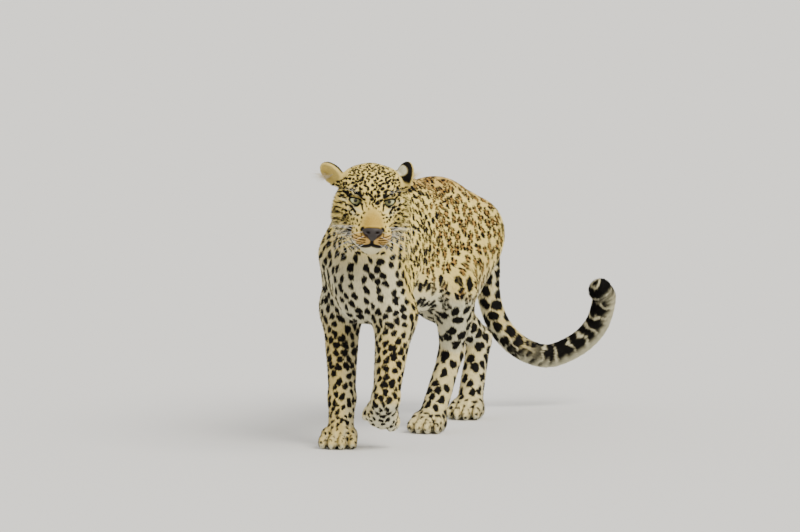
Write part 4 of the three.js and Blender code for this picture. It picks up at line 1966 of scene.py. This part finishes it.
def bake_place(p: Array, region: Region) -> Array:
    """Each root's place in the bake map, from unrolling the skin round the region's own bones.

    Args:
        p: The roots.
        region: The region that they are in.

    Returns:
        Their places in the unit square.
    """
    if region is Region.HEAD:
        q = unit(HEAD_PLACE.local(p) - HEAD.middle)
        turn = np.arctan2(q[:, 0], -q[:, 1]) / (2 * math.pi) + 0.5
        place = np.column_stack([turn, np.arccos(np.clip(-q[:, 2], -1, 1)) / math.pi])
    elif region is Region.NECK:
        place = around(p, (0.0, 0.03, 0.42), TRUNK.neck.end, (0, 0, 1))
    elif region in (Region.RIGHT_SIDE, Region.LEFT_SIDE):
        place = around(p, (0, 0.0, 0.45), (0, 0.72, 0.45), (0, 0, 1))
        place[:, 0] = np.mod(place[:, 0] * 1.9, 1.0)
    elif region is Region.TAIL:
        line = TAIL.points()
        at = np.linalg.norm(p[:, None] - line[None], axis=2).argmin(axis=1)
        ahead = unit(np.gradient(line, axis=0))[at]
        d = p - line[at]
        side = unit(np.cross(ahead, [0.55, 0.35, 0.75]))
        top = np.cross(side, ahead)
        along = (at + (d * ahead).sum(1) / 0.03) / TAIL.steps
        place = np.column_stack([
            np.arctan2((d * side).sum(1), (d * top).sum(1)) / (2 * math.pi) + 0.5,
            np.clip(along, 0.01, 0.99),
        ])
    else:
        legs = FORE if region is Region.FORELEGS else HIND
        places = [around(p, leg.top(), leg.ball, (0, 1, 0)) for leg in legs]
        left = p[:, 0] > 0
        place = np.where(left[:, None], places[1], places[0])
        place[:, 0] = 0.5 * place[:, 0] + 0.5 * left
    return 0.004 + 0.992 * np.clip(place, 0, 1)


# Eyes, nose and whiskers


class Side(Enum):
    """The animal's sides, as the sign of X in the head's frame."""

    RIGHT = -1
    LEFT = 1

    def of(self, v: Sequence[float]) -> Array:
        """A point or direction of the left side, brought to this side."""
        return np.array(v) * [self.value, 1, 1]


@dataclass(frozen=True)
class Eye:
    """An eyeball, with a map whose middle is the pupil."""

    side: Side
    rings: int = 40
    spokes: int = 48
    gaze: Vec = (0.0, -1.0, 0.06)

    def surface(self) -> tuple[Surface, Array]:
        """Rings from the pupil to the back of the ball.

        Returns:
            The ball's surface, and each point's map place: 0.5 is the pupil's middle, and the
            distance from there is the point's distance from the gaze, in the ball's radii over 2.
        """
        gaze = unit(self.side.of(self.gaze))
        side = unit(np.cross(gaze, [0, 0, 1.0]))
        top = np.cross(side, gaze)
        tilt, turn = np.meshgrid(
            np.linspace(0, math.pi, self.rings + 1)[1:-1],
            np.linspace(0, 2 * math.pi, self.spokes, endpoint=False),
            indexing="ij",
        )
        tilt, turn = tilt.ravel(), turn.ravel()
        ways = np.sin(tilt)[:, None] * (
            np.cos(turn)[:, None] * side + np.sin(turn)[:, None] * top
        ) + np.cos(tilt)[:, None] * gaze
        ways = np.vstack([ways, gaze, -gaze])
        points = HEAD_PLACE.world(self.side.of(HEAD.eye) + HEAD.eye_radius * ways)
        across, up = ways @ side, ways @ top
        reach = np.arccos(np.clip(ways @ gaze, -1, 1)) / math.pi
        scale = reach / np.maximum(np.hypot(across, up), 1e-6)
        uv = 0.5 + 0.5 * np.column_stack([across * scale, up * scale])
        return Surface(points, self.triangles()), uv

    def triangles(self) -> Array:
        """Joins the rings, and each end ring to its pole.

        Returns:
            Triangles that face outward.
        """
        n, m = self.spokes, self.rings - 1
        i, j = np.meshgrid(np.arange(m - 1), np.arange(n), indexing="ij")
        a = (i * n + j).ravel()
        b = (i * n + (j + 1) % n).ravel()
        bands = np.vstack([np.column_stack([a, b, b + n]), np.column_stack([a, b + n, a + n])])
        j = np.arange(n)
        front = np.column_stack([np.full(n, m * n), (j + 1) % n, j])
        last = (m - 1) * n
        back = np.column_stack([np.full(n, m * n + 1), last + j, last + (j + 1) % n])
        return np.vstack([bands, front, back])

    def build(self, finish: bpy.types.Material) -> bpy.types.Object:
        """Makes the eyeball's piece, which takes the place of the solid eye.

        Args:
            finish: Its material, which reads the ball's map.

        Returns:
            The piece.
        """
        name = f"eye_{self.side.name.lower()}"
        surface, uv = self.surface()
        thing = build_mesh(f"{name}_ball", surface)
        add_map(thing, EYE_MAP, uv)
        declare(thing, finish, EYE_SLOT, name)
        return thing


@dataclass(frozen=True)
class NosePad:
    """The leather of the nose, a shell that stands a little off the skin."""

    proud: float = 0.0004
    reach: float = 0.03
    step: float = 0.001

    def surface(self) -> Surface:
        """Meshes the part of the head's form that lies in the pad, grown a little.

        Returns:
            The closed shell.
        """
        face = HEAD.field()
        top = Lump((0, -0.084, -0.0455), (0.0235, 0.016, 0.0095))
        low = Lump((0, -0.088, -0.0545), (0.0105, 0.014, 0.0135))
        pad = fuse(0.005, top, low)

        def form(p: Array) -> Array:
            """The head grown a little, where it lies in the pad."""
            q = HEAD_PLACE.local(p)
            return np.maximum(face(q) - self.proud, pad(q))

        middle = HEAD_PLACE.world(np.array(HEAD.pad().centre))
        low, high = middle - self.reach, middle + self.reach
        return Mesher(tuple(low), tuple(high), self.step).surface(form)

    def build(self, finish: bpy.types.Material) -> bpy.types.Object:
        """Makes the leather's piece, which takes the place of the solid nose.

        Args:
            finish: Its material.

        Returns:
            The piece.
        """
        thing = build_mesh("nose_pad", self.surface())
        declare(thing, finish, NOSE_SLOT, "nose")
        return thing


@dataclass(frozen=True)
class Whiskers:
    """Long tapering hairs in four rows on each lip, and a few over the eyes."""

    sides: int = 5
    steps: int = 14
    radius: float = 0.0003
    rows: int = 4
    in_row: int = 5
    over_eye: int = 3
    droop: float = 0.28

    def roots(self) -> list[tuple[Array, Array, float]]:
        """Each whisker's root, way and length, in the head's frame, on the left side.

        Returns:
            One entry for each whisker.
        """
        out = []
        for row in range(self.rows):
            for i in range(self.in_row):
                x = 0.019 + 0.0055 * i
                z = -0.0555 - 0.0062 * row - 0.0008 * i
                way = np.array([0.7, -0.3 + 0.2 * i, 0.12 - 0.17 * row])
                length = 0.05 + 0.008 * i - 0.003 * row
                out.append((np.array([x, -0.075 + 0.008 * i, z]), unit(way), length))
        for i in range(self.over_eye):
            way = unit(np.array([0.35 + 0.3 * i, -0.35, 0.75]))
            out.append((np.array([0.034 + 0.005 * i, -0.018, 0.022]), way, 0.035))
        return out

    def surface(self) -> Surface:
        """Tapering tubes that droop towards their tips.

        Returns:
            All whiskers of both sides.
        """
        face = placed(HEAD.field(), HEAD_PLACE)
        made = []
        for side in Side:
            for root, way, length in self.roots():
                start = HEAD_PLACE.world(side.of(root))
                value, tilt = slope(face, start[None])
                start = start - value[0] * unit(tilt)[0]
                made.append(self.tube(start, HEAD_PLACE.turn(side.of(way)), length))
        whole = made[0]
        for tube in made[1:]:
            whole = whole.with_other(tube)
        return whole

    def tube(self, start: Array, way: Array, length: float) -> Surface:
        """One closed tube that starts just under the skin.

        Args:
            start: Its root, on the skin.
            way: The way that it leaves the skin.
            length: Its length.

        Returns:
            The tube.
        """
        t = np.linspace(-0.04, 1, self.steps + 1)
        line = start + np.outer(t * length, way)
        line[:, 2] -= self.droop * length * np.maximum(t, 0) ** 2
        ahead = unit(np.gradient(line, axis=0))
        side = unit(np.cross(ahead, [0.1, 0.2, 1.0]))
        top = np.cross(side, ahead)
        radius = self.radius * (1 - 0.85 * np.maximum(t, 0))
        turn = np.linspace(0, 2 * math.pi, self.sides, endpoint=False)
        ring = np.cos(turn)[None, :, None] * side[:, None] + np.sin(turn)[None, :, None] * top[:, None]
        points = (line[:, None] + radius[:, None, None] * ring).reshape(-1, 3)
        n = self.sides
        i, j = np.meshgrid(np.arange(self.steps), np.arange(n), indexing="ij")
        a, b = (i * n + j).ravel(), (i * n + (j + 1) % n).ravel()
        walls = np.vstack([np.column_stack([a, a + n, b + n]), np.column_stack([a, b + n, b])])
        ends = [[0, j, j + 1] for j in range(1, n - 1)]
        last = self.steps * n
        ends += [[last, last + j + 1, last + j] for j in range(1, n - 1)]
        return Surface(points, np.vstack([walls, ends]))

    def build(self, finish: bpy.types.Material) -> bpy.types.Object:
        """Makes the whiskers' piece.

        Args:
            finish: Its material.

        Returns:
            The piece.
        """
        thing = build_mesh("whiskers", self.surface())
        declare(thing, finish, COAT_SLOT)
        return thing


@dataclass(frozen=True)
class EarHair:
    """Long pale hairs that fan out of each ear from its lower front edge."""

    count: int = 170
    length: float = 0.034
    width: float = 0.0005

    def surface(self, rng: np.random.Generator) -> Surface:
        """Grows the hairs of both ears, in the ears' own frames.

        Args:
            rng: The source of chance.

        Returns:
            The hairs of both ears.
        """
        made = []
        for ear in EARS:
            place = ear.place()
            turn = rng.uniform(-1.15 * math.pi, -0.35 * math.pi, self.count)
            reach = rng.uniform(0.45, 0.9, self.count)
            root = np.column_stack([
                0.024 * reach * np.cos(turn),
                rng.uniform(-0.009, -0.002, self.count),
                0.029 * reach * np.sin(turn) + 0.003,
            ])
            way = np.tile([-0.45, -0.42, 0.62], (self.count, 1)) + 0.2 * rng.normal(size=(self.count, 3))
            way = unit(way) * self.length * rng.uniform(0.55, 1.15, (self.count, 1))
            out = np.tile([0.0, -1.0, 0.0], (self.count, 1))
            side = unit(np.cross(out, way))
            width = self.width * rng.uniform(0.7, 1.3, self.count)
            tufts = tuft_mesh(root, way, out, side, width)
            points = HEAD_PLACE.world(place.world(tufts.points))
            made.append(Surface(points, tufts.triangles))
        return made[0].with_other(made[1])

    def build(self, rng: np.random.Generator, finish: bpy.types.Material) -> bpy.types.Object:
        """Makes the piece of both ears' long hairs.

        Args:
            rng: The source of chance.
            finish: Its material.

        Returns:
            The piece.
        """
        thing = build_mesh("ear_hair", self.surface(rng))
        declare(thing, finish, COAT_SLOT)
        return thing


# Finishes


def new_material(name: str) -> tuple[bpy.types.Material, bpy.types.Node]:
    """A new material that is made of nodes.

    Args:
        name: Its name.

    Returns:
        The material and its shader.
    """
    made = bpy.data.materials.new(name)
    made.use_nodes = True
    return made, made.node_tree.nodes["Principled BSDF"]


@dataclass(frozen=True)
class Bumps:
    """Small bumps from a texture in the piece's own space."""

    texture: str
    output: str
    settings: tuple[tuple[str, float], ...]
    distance: float

    def add(self, made: bpy.types.Material, strength: float) -> None:
        """Adds the bumps to a material.

        Args:
            made: The material.
            strength: How strong they are, from 0 to 1.
        """
        nodes, links = made.node_tree.nodes, made.node_tree.links
        place = nodes.new("ShaderNodeTexCoord")
        pattern = nodes.new(self.texture)
        for name, value in self.settings:
            pattern.inputs[name].default_value = value
        lift = nodes.new("ShaderNodeBump")
        lift.inputs["Strength"].default_value = strength
        lift.inputs["Distance"].default_value = self.distance
        links.new(place.outputs["Object"], pattern.inputs["Vector"])
        links.new(pattern.outputs[self.output], lift.inputs["Height"])
        links.new(lift.outputs["Normal"], nodes["Principled BSDF"].inputs["Normal"])


HAIRY = Bumps("ShaderNodeTexNoise", "Fac", (("Scale", 700.0), ("Detail", 3.0)), 0.0006)
PEBBLED = Bumps("ShaderNodeTexVoronoi", "Distance", (("Scale", 1300.0),), 0.0005)


@dataclass(frozen=True)
class Fur:
    """The coat's finish: the painted colour, dull and soft, with bumps on the skin under it."""

    roughness: float = 0.72
    shine: float = 0.12
    bump: float = 0.0

    def material(self, name: str) -> bpy.types.Material:
        """Builds the material.

        Args:
            name: Its name.

        Returns:
            The material.
        """
        made, shader = new_material(name)
        colour = made.node_tree.nodes.new("ShaderNodeAttribute")
        colour.attribute_name = COAT_COLOUR
        made.node_tree.links.new(colour.outputs["Color"], shader.inputs["Base Color"])
        shader.inputs["Roughness"].default_value = self.roughness
        shader.inputs["Specular IOR Level"].default_value = self.shine
        if self.bump:
            HAIRY.add(made, self.bump)
        return made


@dataclass(frozen=True)
class EyeFinish:
    """A wet eye: a dark pupil, a pale yellow-green iris with a dark rim, and a brown white.

    Pupil and iris are their radii in the eye's map.
    """

    pupil: float = 0.042
    iris: float = 0.142
    roughness: float = 0.3
    shine: float = 0.3
    wet: float = 0.45
    wet_roughness: float = 0.04

    def material(self, name: str) -> bpy.types.Material:
        """Builds the material, which reads the eye's own map.

        Args:
            name: Its name.

        Returns:
            The material.
        """
        made, shader = new_material(name)
        nodes, links = made.node_tree.nodes, made.node_tree.links
        place = nodes.new("ShaderNodeUVMap")
        place.uv_map = EYE_MAP
        centre = nodes.new("ShaderNodeVectorMath")
        centre.operation = "DISTANCE"
        centre.inputs[1].default_value = (0.5, 0.5, 0.0)
        links.new(place.outputs["UV"], centre.inputs[0])
        ramp = nodes.new("ShaderNodeValToRGB")
        stops = (
            (0.0, (0.004, 0.004, 0.004)),
            (self.pupil * 0.92, (0.006, 0.006, 0.005)),
            (self.pupil * 1.08, (0.40, 0.36, 0.14)),
            (self.iris * 0.62, (0.58, 0.60, 0.32)),
            (self.iris * 0.92, (0.50, 0.52, 0.28)),
            (self.iris * 1.03, (0.05, 0.04, 0.025)),
            (self.iris * 1.5, (0.09, 0.06, 0.045)),
        )
        for element, (position, ink) in zip(ramp.color_ramp.elements, (stops[0], stops[-1])):
            element.position = position
            element.color = (*ink, 1)
        for position, ink in stops[1:-1]:
            ramp.color_ramp.elements.new(position).color = (*ink, 1)
        links.new(centre.outputs["Value"], ramp.inputs["Fac"])
        links.new(ramp.outputs["Color"], shader.inputs["Base Color"])
        shader.inputs["Roughness"].default_value = self.roughness
        shader.inputs["Specular IOR Level"].default_value = self.shine
        shader.inputs["Coat Weight"].default_value = self.wet
        shader.inputs["Coat Roughness"].default_value = self.wet_roughness
        return made


@dataclass(frozen=True)
class Plain:
    """A finish of one colour, pebbled where it has bump."""

    colour: tuple[float, float, float]
    roughness: float
    bump: float = 0.0

    def material(self, name: str) -> bpy.types.Material:
        """Builds the material.

        Args:
            name: Its name.

        Returns:
            The material.
        """
        made, shader = new_material(name)
        shader.inputs["Base Color"].default_value = (*self.colour, 1)
        shader.inputs["Roughness"].default_value = self.roughness
        if self.bump:
            PEBBLED.add(made, self.bump)
        return made


FUR = Fur()
HIDE = Fur(bump=0.5)
WET_EYE = EyeFinish()
LEATHER = Plain((0.016, 0.010, 0.008), 0.5, 0.12)
WHISKER_HAIR = Plain((0.82, 0.8, 0.74), 0.4)
EAR_HAIR = Plain((0.8, 0.68, 0.42), 0.7)
FLOOR_PAINT = Plain((0.72, 0.71, 0.69), 0.9)


# The studio


@dataclass(frozen=True)
class Studio:
    """A pale floor, soft light and the camera at the photo's viewing angle.

    Aim is where the camera looks: to its right of the animal's origin, and above the floor. The
    key light comes from key_from: to the camera's right, back towards it, and up.
    """

    floor_radius: float = 90.0
    floor_drop: float = 0.0006
    floor_corners: int = 96
    azimuth: float = 22.0
    elevation: float = 4.7
    distance: float = 14.0
    lens: float = 270.9
    sensor: float = 36.0
    farthest: float = 200.0
    aim: tuple[float, float] = (0.0767, 0.424)
    sky: float = 1.03
    sky_colour: tuple[float, float, float] = (1.0, 0.99, 0.96)
    key: float = 3.6
    key_angle: float = 35.0
    key_colour: tuple[float, float, float] = (1.0, 0.97, 0.9)
    key_from: Vec = (0.5, 0.75, 0.75)

    def build(self) -> None:
        """Builds the floor, the lights and the camera."""
        turn = np.linspace(0, 2 * math.pi, self.floor_corners, endpoint=False)
        rim = np.column_stack([np.cos(turn), np.sin(turn), 0 * turn]) * self.floor_radius
        rim[:, 2] = -self.floor_drop
        mesh = bpy.data.meshes.new("floor")
        mesh.from_pydata(rim.tolist(), [], [list(range(len(rim)))])
        floor = bpy.data.objects.new("floor", mesh)
        bpy.context.scene.collection.objects.link(floor)
        mesh.materials.append(FLOOR_PAINT.material("floor_paint"))
        self.light()
        self.camera()

    def light(self) -> None:
        """A bright even surround, and one broad light from above, in front and to the right."""
        world = bpy.data.worlds.new("surround")
        world.use_nodes = True
        sky = world.node_tree.nodes["Background"]
        sky.inputs["Color"].default_value = (*self.sky_colour, 1)
        sky.inputs["Strength"].default_value = self.sky
        bpy.context.scene.world = world
        lamp = bpy.data.lights.new("key", "SUN")
        lamp.energy = self.key
        lamp.angle = math.radians(self.key_angle)
        lamp.color = self.key_colour
        right, up, back = self.axes()
        to_right, to_back, to_up = self.key_from
        toward = unit(to_right * right + to_back * back + to_up * up)
        side = unit(np.cross([0, 0, 1.0], toward))
        self.stand("key", lamp, (side, np.cross(toward, side), toward), np.zeros(3))

    def camera(self) -> None:
        """The camera stands off along the viewing direction and looks back at the aim."""
        right, up, back = self.axes()
        target = right * self.aim[0] + [0, 0, self.aim[1]] + np.array(SHIFT)
        data = bpy.data.cameras.new("camera")
        data.lens = self.lens
        data.sensor_width = self.sensor
        data.clip_end = self.farthest
        origin = target + self.distance * back
        bpy.context.scene.camera = self.stand("camera", data, (right, up, back), origin)

    def axes(self) -> tuple[Array, Array, Array]:
        """The camera's right, its up, and the way back to it from what it looks at.

        Returns:
            Three directions of length 1.
        """
        a, e = math.radians(self.azimuth), math.radians(self.elevation)
        right = np.array([math.cos(a), math.sin(a), 0])
        back = np.array([math.sin(a) * math.cos(e), -math.cos(a) * math.cos(e), math.sin(e)])
        return right, np.cross(back, right), back

    def stand(self, name: str, data: bpy.types.ID, axes: Sequence[Array], origin: Array) -> bpy.types.Object:
        """Stands a lamp or the camera in the scene.

        Args:
            name: The object's name.
            data: The lamp or camera.
            axes: Its own X, Y and Z. It looks the other way from Z.
            origin: Its place.

        Returns:
            The new object.
        """
        matrix = np.eye(4)
        matrix[:3, :3] = np.column_stack(axes)
        matrix[:3, 3] = origin
        thing = bpy.data.objects.new(name, data)
        thing.matrix_world = Matrix(matrix.tolist())
        bpy.context.scene.collection.objects.link(thing)
        return thing


# Building


FLESH = (
    "torso", "neck", "head", "ear_left", "ear_right",
    "left_foreleg", "right_foreleg", "left_forepaw", "right_forepaw",
    "left_hind_leg", "right_hind_leg", "left_hind_paw", "right_hind_paw",
    "tail_root", "tail_middle", "tail_tip",
)


def declare(thing: bpy.types.Object, material: bpy.types.Material, slot: str, *nodes: str) -> None:
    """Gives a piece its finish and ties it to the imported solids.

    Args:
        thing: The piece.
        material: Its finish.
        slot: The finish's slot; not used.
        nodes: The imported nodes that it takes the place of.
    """
    thing.data.materials.append(material)
    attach(thing, ROOT_BODY)
    if nodes:
        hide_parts(*nodes)


def add_map(thing: bpy.types.Object, name: str, uv: Array) -> None:
    """Gives a piece a map from one place for each point.

    Args:
        thing: The piece.
        name: The map's name.
        uv: Each point's place in the unit square.
    """
    layer = thing.data.uv_layers.new(name=name)
    corners = np.empty(len(thing.data.loops), dtype=np.int32)
    thing.data.loops.foreach_get("vertex_index", corners)
    layer.data.foreach_set("uv", uv[corners].astype(np.float32).ravel())


def log_piece(thing: bpy.types.Object) -> None:
    """Logs a piece's name and size."""
    log.info("%s: %d triangles", thing.name, len(thing.data.polygons))


def main() -> None:
    """Builds the leopard and the studio."""
    logging.basicConfig(level=logging.INFO, format="%(message)s")
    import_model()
    rng = np.random.default_rng(SEED)

    skin = Skin()
    surface = skin.surface()
    spots = Spots.spread(surface, rng)
    log.info("%d spots", len(spots.at))
    fur, hide = FUR.material("coat_fur"), HIDE.material("skin_fur")
    log_piece(skin.build(surface, spots, hide))

    coat = Coat(surface, spots, rng)
    regions = coat.regions()
    for piece in COAT:
        faces = np.where(regions == piece.region.value)[0]
        log_piece(coat.build(piece, faces, fur))

    wet = WET_EYE.material("eye_wet")
    for side in (Side.LEFT, Side.RIGHT):
        log_piece(Eye(side).build(wet))
    log_piece(NosePad().build(LEATHER.material("nose_leather")))
    log_piece(Whiskers().build(WHISKER_HAIR.material("whisker_hair")))
    log_piece(EarHair().build(rng, EAR_HAIR.material("ear_hair")))

    Studio().build()


if __name__ == "__main__":
    main()
